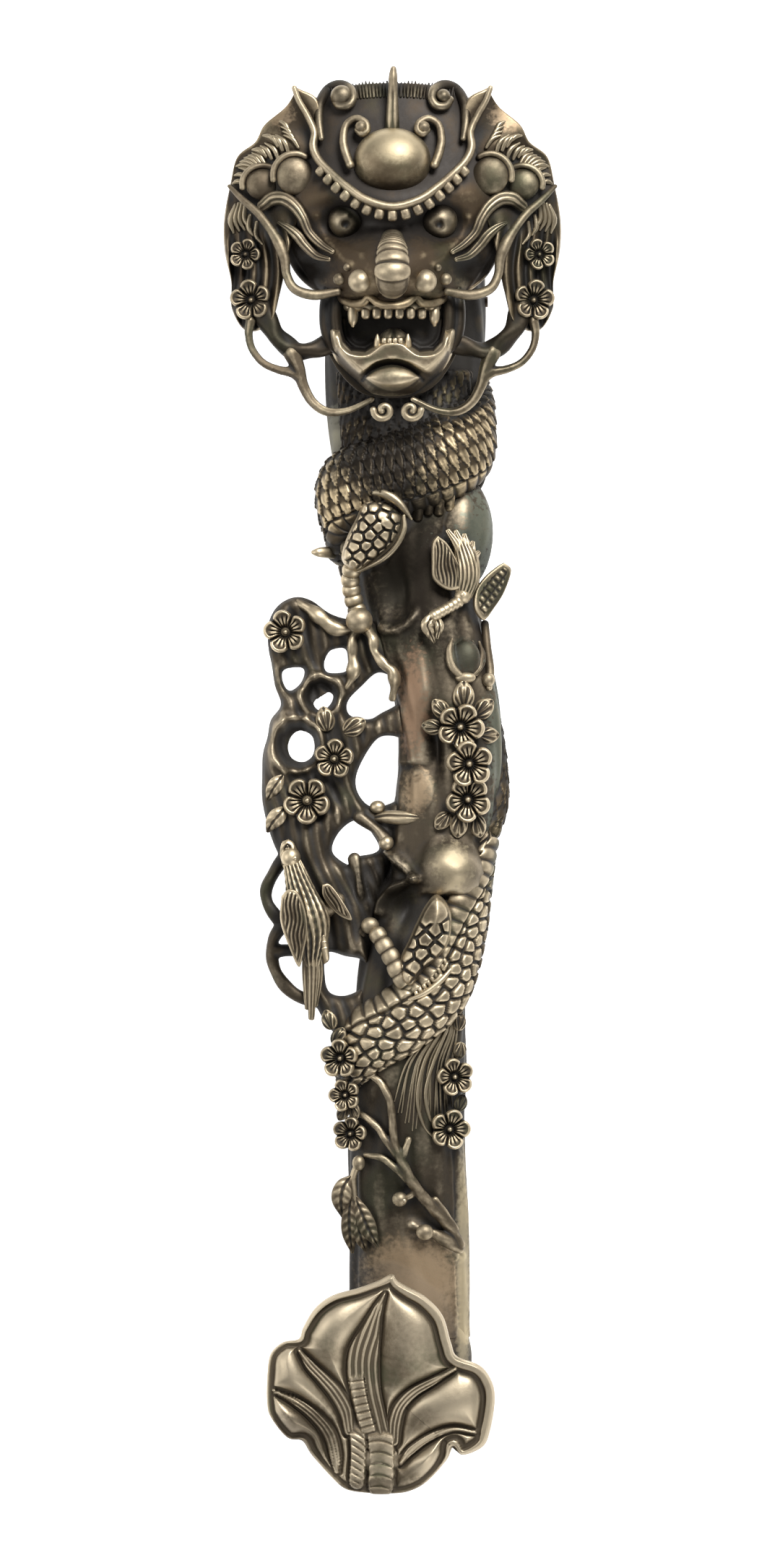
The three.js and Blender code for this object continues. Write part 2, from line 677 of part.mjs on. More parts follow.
add("branch_lattice", wornBronze, (grow) => {
  const bar = (path, radii, flat) => horn(latticePoints(path), radii, grow, { flat });
  const ring = (x, y, radius, thickness) =>
    new THREE.TorusGeometry(radius, thickness + grow, 6, 14).translate(x, y, latticeZ);
  return [
    bar([[-22, 49], [-28, 53], [-33.5, 49], [-35, 42], [-33.8, 33], [-32, 25], [-31, 18]],
      [1.8, 2.2, 2.2, 2.4, 2.4, 3, 3.6]),
    bar([[-17, 45], [-21.5, 41], [-24, 36], [-26, 29.5], [-29, 22], [-31, 16]],
      [2, 2.4, 2.6, 3, 3.6, 3.4]),
    bar([[-26, 34], [-20, 32], [-12.5, 30]], [1.6, 1.8, 1.4]),
    ring(-20.6, 25.6, 4.8, 2.2),
    ring(-27.8, 10.7, 6.4, 2.8),
    bar([[-27, 19], [-20, 18.5], [-11, 16.5]], [3.4, 3.2, 3], 0.8),
    bar([[-15.5, 22], [-15.5, 15], [-17, 6]], [3, 4.2, 5], 0.7),
    bar([trunkSide(30, 0), [-3, 19], [-8.8, 12], [-12, 4], [-12.5, -4], [-10, -10]],
      [2.2, 2.4, 2.4, 2.4, 2.6, 2.8]),
    bar([[-27, 3], [-28, -6], [-27.5, -16], [-24, -28]], [9, 10.5, 10, 7], 0.5),
    bar([[-18, -9], [-10, -10], [-3, -10], trunkSide(-8, 0)], [4, 2.8, 2.4, 2.4]),
    bar([[-10, -10, 2], [-4.5, -14.5, 4], [-2, -18, 6]], [1.6, 1.7, 1.8]),
    bar([[-20, -18], [-19, -28], [-14, -36], [-12, -43], trunkSide(-47, 0)], [4, 5, 6, 6, 5.5], 0.7),
    bar([[-24, -26], [-22, -44], [-23, -60], [-18, -69], trunkSide(-76, 0)], [3.4, 4.6, 4.2, 4.4, 4.4]),
    bar([[-29, -18], [-35, -27], [-36, -35], [-31, -41], [-24, -42]], [2]),
    bar([[-31, -41], [-36, -48], [-35.5, -55], [-31, -61], [-24, -63]], [2]),
  ];
});
for (const [name, x, y, radius] of [
  ["lattice_blossom_top", -31.6, 44.5, 6.5],
  ["lattice_blossom_middle", -17.2, 7, 5.9],
  ["lattice_blossom_lower", -25.2, -5.3, 7],
]) {
  addBlossom(name, radius, 4, new THREE.Matrix4().makeTranslation(x, y, latticeZ + 6));
}

// Dragon's limbs

add("dragon_foreleg", wornBronze, (grow) => {
  const shoulder = onTrunk(-0.5, 74, 5);
  const shin = [onTrunk(-0.87, 66, 4), onTrunk(-1.12, 60, 3.5), onTrunk(-1.22, 51.5, 3)];
  const spur = [onTrunk(-1, 69, 3), onTrunk(-1.28, 68, 3), at(-23.5, 67.6, latticeZ + 1)];
  return [
    bead(shoulder, at(8, 13, 5.5), grow, { turn: -29, columns: 12 }),
    horn(shin, [4, 2.8, 2.2], grow),
    horn(spur, [3, 2.4, 0.7], grow),
  ];
});
add("dragon_foreclaw", wornBronze, (grow) => {
  const knuckle = onTrunk(-1.15, 47.5, knuckleRadius);
  const toe = (path, radii) => horn([knuckle, ...latticePoints(path)], radii, grow);
  return [
    ball(knuckle, knuckleRadius, grow, { columns: 8 }),
    toe([[-16, 45.5, 3.5], [-22, 48.8, 3.5]], [1.8, 2.1, 1.6]),
    toe([[-11.6, 40, 4], [-11.6, 34, 3.5], [-14, 27.5, 2]], [1.8, 1.8, 1.9, 1.2]),
    toe([[-5.5, 40, 6.5], [-2.5, 35, 8], [0.6, 31.5, 8.5], [0.3, 26.5, 7.5]], [1.8, 1.7, 1.7, 1.9, 1.2]),
  ];
});
add("dragon_hind_leg", wornBronze, (grow) => {
  const thigh = [onTrunk(0.56, -38, 4), onTrunk(0.47, -48, 5), onTrunk(0.08, -57, 5)];
  const shinPlaces = [[0.02, -57, 5], [-0.36, -52, 4], [-0.73, -46, 3], [-0.94, -41.5, 3]];
  const shin = shinPlaces.map((place) => onTrunk(...place));
  return [
    horn(thigh, [5, 6.5, 5], grow, { sides: 8, flat: 0.7 }),
    horn(shin, [3.4, 2.6, 2.4, 2.8], grow),
  ];
});
add("tail_hair", darkBronze, (grow) => {
  const root = 0.82;
  const tips = [[-0.23, -92], [0.04, -97], [0.3, -99], [0.51, -95]];
  return tips.map(([share, y]) => {
    const strand = [onTrunk(root, -68, 0.5), onTrunk((root + share * 2) / 3, -81, 0.8), onTrunk(share, y, 0)];
    return horn(strand, [2.4, 2.2, 0.9], grow, { flat: 0.7 });
  });
});

// Birds: a body, a pair of wings and a tail, each bird one casting in its own frame

add("flying_bird", wornBronze, (grow) => [
  horn([at(3, 11, 0), at(1.5, 4, 1), at(-0.5, -4, 0.5)], [3, 3.8, 2.2], grow),
  bead(at(-6.2, 6, 0.5), at(4, 8.6, 1.5), grow, { turn: 14 }),
  bead(at(7.6, -1.5, 0.5), at(4.4, 9, 1.5), grow, { turn: -24 }),
  horn([at(-0.5, -4, 0.5), at(-6, -8.5, 0.8), at(-10.5, -14.5, 1)], [1.6, 1.6, 2.4], grow, { flat: 0.6 }),
], { place: trunkSeat(0.84, 58, flyingBirdLift) });

const perch = new THREE.Matrix4().makeTranslation(-25.2, -38.7, latticeZ + perchedBirdLift);
add("perched_bird", wornBronze, (grow) => [
  horn([at(-4.6, 17, 1), at(-2.6, 9.5, 1), at(0, 0, 0), at(1.6, -12, -1)], [2.8, 3.6, 6, 3], grow,
    { sides: 8 }),
  bead(at(-4.2, -4, 1.5), at(2.8, 10, 2.6), grow, { turn: -8 }),
  horn([at(1.6, -12, -1), at(1.8, -22, -2.5), at(1.2, -31, -3.5)], [2.9, 2.8, 1.8], grow, { flat: 0.5 }),
  horn([at(6, 8.5, 0), at(9, 4, -1), at(13, -1, -2)], [1.6, 2.4, 1], grow, { flat: 0.6 }),
  horn([at(0, 0, -1), at(6, 1.5, -1.5), at(9, 4, -1)], [3, 2.6, 2.2], grow),
], { place: perch });

// Blossoms, twig and leaves on the trunk

for (const [name, share, y, radius, lift] of [
  ["trunk_blossom_middle", 0.34, 5.5, 7, 4],
  ["trunk_blossom_upper", 0.19, 16.4, 7.2, 2.5],
  ["trunk_blossom_lower", 0.4, -5, 6.8, 2.5],
  ["left_blossom_upper", -1.23, -81.5, 5.8, 7.5],
  ["left_blossom_middle", -1.15, -92.4, 5.3, 2.5],
  ["left_blossom_lower", -1.01, -104, 5.2, 2.5],
  ["right_blossom_upper", 0.82, -87, 5.6, 3],
  ["right_blossom_lower", 0.71, -102.5, 6, 2.5],
]) {
  addBlossom(name, radius, 4, trunkSeat(share, y, lift));
}

add("lower_twig", wornBronze, (grow) => {
  const twig = (path, radii) => horn(path.map(([share, y]) => onTrunk(share, y, 0.8)), radii, grow);
  const bud = (share, y, radius) => ball(onTrunk(share, y, 1.5), radius, grow, { columns: 8 });
  const thin = twigRadius * 0.8;
  return [
    twig([[0.88, -134], [0.51, -127], [0.06, -118.5], [-0.21, -111], [-0.26, -103], [-0.35, -94],
      [-0.59, -87], [-0.81, -84]],
      [2.4, twigRadius * 1.4, twigRadius * 1.3, twigRadius * 1.2, twigRadius, twigRadius, thin, thin]),
    twig([[-0.21, -111], [-0.43, -105], [-0.7, -99.5], [-0.93, -97.5]], [twigRadius, twigRadius, thin]),
    twig([[0.06, -118.5], [-0.22, -113.5], [-0.51, -110.5], [-0.75, -110]], [twigRadius, twigRadius, thin]),
    twig([[-0.21, -111], [-0.09, -108], [0, -105.6]], [twigRadius, thin]),
    twig([[0.15, -120.5], [0, -122.5], [-0.14, -123.3]], [thin]),
    twig([[0.6, -129], [0.43, -132], [0.27, -133]], [thin]),
    bud(-0.14, -123.3, 2.3),
    bud(0.27, -133, 2.6),
  ];
});
add("leaf_spray", wornBronze, (grow) => {
  const tips = [[-1.33, -125], [-1.12, -137], [-0.59, -137]];
  const root = -0.97;
  const lift = 3.5;
  return tips.map(([share, y]) => {
    const between = onTrunk((share + root) / 2, (y - 116) / 2, lift);
    const blade = [onTrunk(root, -116, lift), between, onTrunk(share, y, lift)];
    return horn(blade, [1.5, 4, 2], grow, { flat: 0.9 });
  });
});

// Leaf. Each lobe is a circle in the leaf's frame, and the leaf's outline is their outer edge

const lobes = [
  { x: -1, y: 12.5, radius: 20.9 },
  { x: -19.3, y: 0, radius: 15.3 },
  { x: 18, y: -6.5, radius: 15.5 },
  { x: 0, y: -10, radius: 22.4 },
  { x: 2.5, y: 27.5, radius: 6.2 },
];

function leafReach(angle) {
  const x = Math.cos(angle);
  const y = Math.sin(angle);
  return Math.max(
    ...lobes.map((lobe) => {
      const along = lobe.x * x + lobe.y * y;
      const across = lobe.x * y - lobe.y * x;
      const inside = lobe.radius ** 2 - across ** 2;
      return inside > 0 ? along + Math.sqrt(inside) : 0;
    }),
  );
}

// Pillows by place, half width, half length and turn, and ribs by their points and half widths
const pillows = [
  { x: -12.5, y: 16.6, halfWidth: 8, halfLength: 12, turn: -26 },
  { x: 8.5, y: 13.4, halfWidth: 9, halfLength: 15, turn: 8 },
  { x: -24.4, y: 1.2, halfWidth: 6, halfLength: 10.5, turn: 40 },
  { x: 19, y: -4.6, halfWidth: 7, halfLength: 12, turn: -58 },
  { x: -24, y: -9.4, halfWidth: 3.4, halfLength: 7.5, turn: 48 },
  { x: 14, y: -20.4, halfWidth: 3.2, halfLength: 8, turn: -52 },
];
const leafRibs = [
  { path: [[0.8, 28], [-3.4, 17], [-5.8, 5], [-5, -2], [-2.4, -15]], halfWidths: [0.6, 3, 4.8, 4.4, 4.6] },
  { path: [[21.6, 5.6], [9.4, -1.4], [5.4, -5.6], [3.4, -16]], halfWidths: [0.8, 1.6, 2, 2] },
  { path: [[-24.4, 11], [-17.4, 2.6], [-10.8, -7], [-9.4, -14]], halfWidths: [0.8, 2, 2.4, 2] },
  { path: [[-32, -1], [-19.8, -8.6], [-14, -20], [-12.4, -26]], halfWidths: [0.8, 1.9, 2.2, 1.8] },
  { path: [[26.6, -13.2], [12.8, -15.2], [4, -21]], halfWidths: [0.8, 1.5, 1.4] },
];
const rootPath = [[-3.2, -17], [-3.2, -23], [-3, -28.4]];
const rootHalfWidth = 6.6;

add("cloud_leaf", wornBronze, (grow) => {
  const base = (y) => leafSlope * y;
  const swell = (x, y) =>
    Math.max(...lobes.map((lobe) => dome(x - lobe.x, y - lobe.y, lobe.radius, lobe.radius)));
  const top = (x, y, share) => base(y) + leafThickness + leafRimHeight * smooth(0.84, 0.94, share);
  const back = (x, y) => base(y) + leafDishDepth * swell(x, y);
  const onLeaf = ([x, y]) => at(x, y, base(y) + leafThickness);
  const bar = (path, halfWidths, height) =>
    horn(path.map(onLeaf), halfWidths, grow, { flat: height / Math.max(...halfWidths), steps: 1 });
  return [
    dish(roundOutline(40, leafReach), [0.3, 0.6, 0.84, 0.94, 1], top, back, grow),
    ...pillows.map(({ x, y, halfWidth, halfLength, turn }) =>
      bead(onLeaf([x, y]), at(halfWidth, halfLength, pillowHeight), grow, { turn }),
    ),
    ...leafRibs.map(({ path, halfWidths }) => bar(path, halfWidths, ribHeight)),
    bar(rootPath, [rootHalfWidth], pillowHeight),
  ];
}, { place: new THREE.Matrix4().makeTranslation(leafX, tailY, leafLift) });

// The origin goes on the table under the middle of the whole

const whole = new THREE.Box3().setFromObject(scepter);
const middle = whole.getCenter(at(0, 0, 0)).setZ(whole.min.z);
scepter.children.forEach((mesh) => mesh.position.sub(middle));

export default scepter;
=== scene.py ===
# Bronze ruyi scepter, lying on its back on a white table and seen from straight above.
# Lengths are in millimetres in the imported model's frame: +X right, +Y towards the head, +Z up.

import math

import bpy
import numpy as np
from mathutils import Matrix, Vector


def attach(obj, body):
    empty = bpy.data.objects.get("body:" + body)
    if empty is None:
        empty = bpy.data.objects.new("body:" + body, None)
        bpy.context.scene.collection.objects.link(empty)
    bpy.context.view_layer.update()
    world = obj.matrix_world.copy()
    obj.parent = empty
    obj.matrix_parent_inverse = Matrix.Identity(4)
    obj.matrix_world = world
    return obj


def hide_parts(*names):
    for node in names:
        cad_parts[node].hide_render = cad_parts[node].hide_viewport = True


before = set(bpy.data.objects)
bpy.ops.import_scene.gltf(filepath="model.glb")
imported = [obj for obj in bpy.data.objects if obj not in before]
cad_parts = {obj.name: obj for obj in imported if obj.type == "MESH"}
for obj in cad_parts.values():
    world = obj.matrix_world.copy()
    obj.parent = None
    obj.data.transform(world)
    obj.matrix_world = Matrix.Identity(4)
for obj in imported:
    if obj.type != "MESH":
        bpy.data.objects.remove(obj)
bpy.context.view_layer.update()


# Trunk: a hollow plum-tree trunk, cast in one piece by lost wax, with burls, a knot hole and soft bark.
# Its skin is browner than the ornament's, with a coppery rubbed strip and verdigris on the right.

TRUNK_TOP = 150
TRUNK_WAIST = 9
TRUNK_FOOT = -165
# Half widths and half depths at the trunk's top, waist and foot.
TRUNK_HALF_WIDTHS = (24, 15, 18)
TRUNK_HALF_DEPTHS = (13, 10.5, 10.5)
FOOT_X = 5
LEAN = 1.5
BOW = 13.5
BOW_REACH = 42
ARCH = 14
BARK_FADE = (-125, -145)
MILLIMETRE = 0.001


def smooth(low, high, value):
    """A soft step from 0 at low to 1 at high."""
    share = np.clip((value - low) / (high - low), 0, 1)
    return share * share * (3 - 2 * share)


def peak(value, half_width):
    """A bell that is 1 where value is 0, and about a third of that at half_width."""
    return np.exp(-((value / half_width) ** 2))


def hill(x, y, half_width, half_height):
    return np.exp(-((x / half_width) ** 2) - (y / half_height) ** 2)


def mound(x, y, half_width, half_height):
    return np.sqrt(np.clip(1 - (x / half_width) ** 2 - (y / half_height) ** 2, 0, None))


def along_trunk(y, top, waist, foot):
    upper = (top - waist) * smooth(TRUNK_WAIST, TRUNK_TOP, y)
    lower = (foot - waist) * smooth(TRUNK_WAIST, TRUNK_FOOT, y)
    return waist + upper + lower


def trunk_half_width(y):
    return along_trunk(y, *TRUNK_HALF_WIDTHS)


def trunk_half_depth(y):
    return along_trunk(y, *TRUNK_HALF_DEPTHS)


def trunk_centre_x(y):
    lean = FOOT_X - LEAN * smooth(TRUNK_FOOT, TRUNK_TOP, y)
    return lean + BOW * peak(y - TRUNK_WAIST, BOW_REACH)


def trunk_centre_z(y):
    middle = (TRUNK_TOP + TRUNK_FOOT) / 2
    share = (y - middle) / (TRUNK_TOP - middle)
    return ARCH * (1 - share**2) + trunk_half_depth(y)


def trunk_round(y, turn, lift=0):
    """Points round the trunk. A turn of 0 degrees is its front and 90 its right side."""
    angle = np.radians(turn)
    x = trunk_centre_x(y) + (trunk_half_width(y) + lift) * np.sin(angle)
    z = trunk_centre_z(y) + (trunk_half_depth(y) + lift) * np.cos(angle)
    return np.stack(np.broadcast_arrays(x, np.asarray(y, float), z), axis=-1)


def trunk_front(x, y, lift=0):
    """Points on the trunk's front, as seen at x and y, or on its edge where x is past that."""
    share = (x - trunk_centre_x(y)) / (trunk_half_width(y) + lift)
    return trunk_round(y, np.degrees(np.arcsin(np.clip(share, -1, 1))), lift)


def unit(vectors):
    return vectors / np.linalg.norm(vectors, axis=-1, keepdims=True)


def trunk_normal(y, turn):
    angle = np.radians(turn)
    across = np.sin(angle) / trunk_half_width(y)
    outward = np.cos(angle) / trunk_half_depth(y)
    return unit(np.stack([across, 0 * angle, outward], axis=-1))


def spline(stations, count):
    """A smooth curve through rows of numbers, at count even steps from row to row."""
    rows = np.asarray(stations, float)
    padded = np.vstack([2 * rows[0] - rows[1], rows, 2 * rows[-1] - rows[-2]])
    place = np.linspace(0, len(rows) - 1, count)
    low = np.minimum(place.astype(int), len(rows) - 2)
    share = (place - low)[:, None]
    a, b, c, d = (padded[low + step] for step in range(4))
    bend = (2 * a - 5 * b + 4 * c - d) * share**2 + (3 * b - a - 3 * c + d) * share**3
    return 0.5 * (2 * b + (c - a) * share + bend)


def off_path(x, y, path, count=70):
    """Each point's distance from a smooth path in the XY plane, and its place along it, from 0 to 1."""
    nearest = np.full(np.shape(x), np.inf)
    along = np.zeros(np.shape(x))
    for step, (path_x, path_y) in enumerate(spline(path, count)[:, :2]):
        distance = np.hypot(x - path_x, y - path_y)
        closer = distance < nearest
        nearest = np.where(closer, distance, nearest)
        along = np.where(closer, step / (count - 1), along)
    return nearest, along


def ridge(x, y, path, half_width):
    return peak(off_path(x, y, path)[0], half_width)


def skin(rings):
    """A closed shell over rings of points, with a fan on the middle of the first and last ring."""
    rows, columns = rings.shape[:2]
    number = np.arange(rows * columns).reshape(rows, columns)
    beside = np.roll(number, -1, axis=1)
    quads = np.stack([number[:-1], beside[:-1], beside[1:], number[1:]], axis=-1).reshape(-1, 4)
    ends = np.stack([rings[0].mean(axis=0), rings[-1].mean(axis=0)])
    points = np.vstack([rings.reshape(-1, 3), ends])
    first, last = rows * columns, rows * columns + 1
    fans = [(first, b, a) for a, b in zip(number[0].tolist(), beside[0].tolist())]
    fans += [(last, a, b) for a, b in zip(number[-1].tolist(), beside[-1].tolist())]
    corner = [points[quads[:, k]] for k in range(4)]
    halves = np.cross(corner[1], corner[2]) + np.cross(corner[2], corner[3])
    volume = np.einsum("ij,ij->", corner[0], halves)
    faces = quads.tolist() + fans
    if volume < 0:
        faces = [face[::-1] for face in faces]
    return points, faces


def flattened(shell, floor):
    """A shell with what is under floor pressed flat onto it."""
    points, faces = shell
    points[:, 2] = np.maximum(points[:, 2], floor)
    return points, faces


class Value:
    """One value in a material's nodes, so that sums of values read as ordinary maths."""

    def __init__(self, tree, socket):
        self.tree = tree
        self.socket = socket

    def node(self, kind, inputs, output=0, **settings):
        made = self.tree.nodes.new(kind)
        for name, setting in settings.items():
            setattr(made, name, setting)
        for place, value in inputs.items():
            if isinstance(value, Value):
                self.tree.links.new(value.socket, made.inputs[place])
            else:
                made.inputs[place].default_value = value
        return Value(self.tree, made.outputs[output])

    def maths(self, operation, first, second):
        return self.node("ShaderNodeMath", {0: first, 1: second}, operation=operation)

    def __add__(self, other):
        return self.maths("ADD", self, other)

    def __radd__(self, other):
        return self.maths("ADD", other, self)

    def __sub__(self, other):
        return self.maths("SUBTRACT", self, other)

    def __rsub__(self, other):
        return self.maths("SUBTRACT", other, self)

    def __mul__(self, other):
        return self.maths("MULTIPLY", self, other)

    def __rmul__(self, other):
        return self.maths("MULTIPLY", other, self)

    def between(self, low, high):
        limits = {0: self, 1: low, 2: high, 3: 0.0, 4: 1.0}
        return self.node("ShaderNodeMapRange", limits, interpolation_type="SMOOTHSTEP")

    def mix(self, first, second):
        return self.node("ShaderNodeMix", {0: self, 6: first, 7: second}, output=2, data_type="RGBA")


def colour(red, green, blue):
    """A linear colour from its usual 0 to 255 values."""
    return (*[((share + 0.055) / 1.055) ** 2.4 for share in (red / 255, green / 255, blue / 255)], 1.0)


def bronze(name, grime_and_shade, body, worn, gloss=0.36, stains_and_painted_light=()):
    """Cast bronze: black-brown dirt and patina in the recesses, deepened into painted shade where a piece lies
    low under or between others, toned metal, and bare worn metal on what is touched. A stain is a colour with
    a middle and reach in millimetres, a strength and a patchiness; some are real colour and some painted shade
    or highlights."""
    material = bpy.data.materials.new(name)
    material.use_nodes = True
    tree = material.node_tree
    surface = tree.nodes["Principled BSDF"]
    place = Value(tree, tree.nodes.new("ShaderNodeTexCoord").outputs["Object"])
    wear = place.node("ShaderNodeAttribute", {}, output="Fac", attribute_name="wear")
    recess = place.node("ShaderNodeAttribute", {}, output="Fac", attribute_name="recess")
    noise = {"Vector": place, "Scale": 90.0, "Detail": 4.0, "Roughness": 0.55}
    cloud = place.node("ShaderNodeTexNoise", noise)
    speckle = place.node("ShaderNodeTexNoise", {**noise, "Scale": 700.0})
    grain = place.node("ShaderNodeTexNoise", {**noise, "Scale": 2600.0, "Detail": 2.0})
    # Tone falls with recess depth: patina in the hollows, and painted shade where a piece lies under others.
    tone = wear - recess * 0.55 + (cloud - 0.5) * 0.3 + (speckle - 0.5) * 0.2
    bare = tone.between(0.52, 0.95)
    clean_and_unshaded = tone.between(0.08, 0.52)
    green = place.node("ShaderNodeTexNoise", {**noise, "Scale": 55.0}).between(0.48, 0.66)
    toned = green.mix(colour(*body), colour(body[0] * 0.9, body[1] * 0.98, body[2] * 0.95))
    paint = clean_and_unshaded.mix(colour(*grime_and_shade), bare.mix(toned, colour(*worn)))
    # Stains give real verdigris, copper and tan, and also painted shade and painted highlights.
    for tint, middle, reach, strength, patches in stains_and_painted_light:
        where = {0: place, 1: tuple(-axis * MILLIMETRE for axis in middle)}
        offset = place.node("ShaderNodeVectorMath", where, operation="ADD")
        scale = {0: offset, 1: tuple(1 / (axis * MILLIMETRE) for axis in reach)}
        scaled = place.node("ShaderNodeVectorMath", scale, operation="MULTIPLY")
        length = place.node("ShaderNodeVectorMath", {0: scaled}, output="Value", operation="LENGTH")
        patchy = ((speckle - 0.5) * 2.2 + (cloud - 0.5) * 1.6) * patches
        spread = (1 - (length + patchy).between(0.45, 1.1)) * strength
        paint = (spread * (0.6 + 0.4 * clean_and_unshaded)).mix(paint, colour(*tint))
    tree.links.new(paint.socket, surface.inputs["Base Color"])
    dull, polish = 0.62, 0.12
    rough = dull - clean_and_unshaded * (dull - gloss - polish) - bare * polish + (speckle - 0.5) * 0.14
    tree.links.new(rough.socket, surface.inputs["Roughness"])
    metal = 0.45 + clean_and_unshaded * 0.5
    tree.links.new(metal.socket, surface.inputs["Metallic"])
    bump = {"Height": grain * 0.5 + speckle, "Strength": 0.16, "Distance": 0.0003}
    tree.links.new(place.node("ShaderNodeBump", bump).socket, surface.inputs["Normal"])
    return material


castings = []


def casting(name, shells, finish, slot, *nodes, weld=0.0, tone_shift=0.0):
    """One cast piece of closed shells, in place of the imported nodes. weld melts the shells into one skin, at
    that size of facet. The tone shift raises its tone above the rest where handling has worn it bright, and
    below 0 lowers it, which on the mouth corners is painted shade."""
    points = np.vstack([shell[0] for shell in shells])
    starts = np.cumsum([0] + [len(shell[0]) for shell in shells])
    faces = []
    for shell, start in zip(shells, starts.tolist()):
        faces += [[corner + start for corner in face] for face in shell[1]]
    mesh = bpy.data.meshes.new(name)
    mesh.from_pydata((points * MILLIMETRE).tolist(), [], faces)
    piece = bpy.data.objects.new(name, mesh)
    bpy.context.scene.collection.objects.link(piece)
    bpy.ops.object.select_all(action="DESELECT")
    piece.select_set(True)
    bpy.context.view_layer.objects.active = piece
    if weld:
        bpy.ops.object.modifier_add(type="REMESH")
        piece.modifiers[-1].mode = "VOXEL"
        piece.modifiers[-1].voxel_size = weld * MILLIMETRE
        bpy.ops.object.modifier_apply(modifier=piece.modifiers[-1].name)
        bpy.ops.object.modifier_add(type="SMOOTH")
        piece.modifiers[-1].factor = 0.5
        piece.modifiers[-1].iterations = 6
        bpy.ops.object.modifier_apply(modifier=piece.modifiers[-1].name)
    bpy.ops.object.shade_smooth()
    piece.data.materials.clear()
    piece.data.materials.append(finish)
    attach(piece, "root")
    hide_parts(*nodes)
    castings.append((piece, tone_shift))


def bark(y, turn):
    angle = np.radians(turn)
    swirl = angle + 0.004 * y + 0.3 * np.sin(0.04 * y)
    fine = 0.16 * np.sin(17 * swirl - 0.05 * y + 2 * np.sin(0.045 * y + 1))
    grain = 0.24 * np.sin(9 * swirl + 1.5 * np.sin(0.06 * y)) + fine
    lumps = 0.7 * np.sin(0.09 * y + 2 * np.sin(angle + 0.5)) * np.cos(2 * angle + 0.03 * y)
    faded = smooth(*BARK_FADE, y)
    return grain * (1 - 0.6 * faded) + lumps * (1 - 0.5 * faded)


def trunk_relief(y, turn):
    angle = np.radians(turn)
    x = trunk_centre_x(y) + trunk_half_width(y) * np.sin(angle)
    front = smooth(-0.1, 0.35, np.cos(angle))
    swell = np.clip(1 - ((x - 17.4) / 12.5) ** 2 - ((y + 26) / np.where(y > -26, 11.5, 15)) ** 2, 0, 1)
    lumps = 1 + 0.03 * np.sin(0.8 * x + 0.6) * np.cos(0.7 * y)
    burl = 6.4 * swell**1.7 * lumps * smooth(-34, -32.4, y + 0.5 * np.sin(1.1 * x))
    side_burl = 5.5 * mound((np.mod(turn + 180, 360) - 180 - 82) / 48, (y - 74) / 15, 1, 1) ** 1.3
    fold = 2.6 * ridge(x, y, [(-0.4, -20.7), (3.4, -24.2), (6.9, -28.2)], 1.6)
    fold = fold + 2.6 * ridge(x, y, [(6.9, -28.4), (3, -30), (-1, -32), (-3.4, -35), (-4.2, -38.4)], 1.4)
    fold = fold - 4.2 * hill(x - 2.6, y + 37.4, 5, 5) - 3 * hill(x + 3.6, y + 26, 2.4, 5)
    knot = -5.5 * hill(x - 0.8, y - 57, 7, 8.5) ** 0.8
    lip_away, lip_along = off_path(x, y, [(-6, 47.4), (-1, 45.2), (3, 46.4), (6, 49.5), (8.6, 54)])
    knot_lip = 1.7 * peak(lip_away, 1.6) * smooth(0, 0.2, lip_along) * smooth(1, 0.6, lip_along)
    hollow = -3.8 * hill(x - 11.8, y - 11, 3, 11)
    strip_away = np.abs(x - 6.4 - 0.07 * (y - 18) - 0.5 * np.sin(0.3 * y))
    strip = 1.1 * smooth(5.2, 1.8, strip_away) * smooth(4.4, 6.4, y) * smooth(44, 22, y)
    strip = strip + 0.8 * mound(x - 6.6, y + 2.4, 5.6, 7.2) ** 1.5
    dimple = -0.6 * hill(x - 7.4, y - 1.4, 0.8, 0.8)
    edge = -0.9 * ridge(x, y, [(18.5, -108), (19.8, -135), (20.5, -170)], 0.8)
    edge = edge - 0.8 * ridge(x, y, [(-10.5, -112), (-11.3, -135), (-11.5, -160)], 0.8)
    edge = edge - 1.1 * ridge(x, y, [(-13.8, 112), (-13.4, 100), (-12.5, 88)], 0.8)
    shelf = 1.3 * ridge(x, y, [(6, -131), (12, -134.5), (17, -138), (20, -140.5)], 1.6)
    scoop = -1.6 * hill(x - 5, y + 126, 9, 10) - 1.2 * hill(x + 3, y + 100, 6, 12)
    carved = burl + fold + knot + knot_lip + hollow + strip + dimple + edge + shelf + scoop
    calm = 1 - smooth(0.2, 0.8, mound(x - 17.5, y + 26, 10, 9)) * front
    return bark(y, turn) * calm + front * carved + side_burl


trunk_y = np.linspace(TRUNK_FOOT, TRUNK_TOP, 450)[:, None]
trunk_turn = np.linspace(0, 360, 212, endpoint=False)[None, :]
trunk_skin = trunk_round(trunk_y, trunk_turn, trunk_relief(trunk_y, trunk_turn))

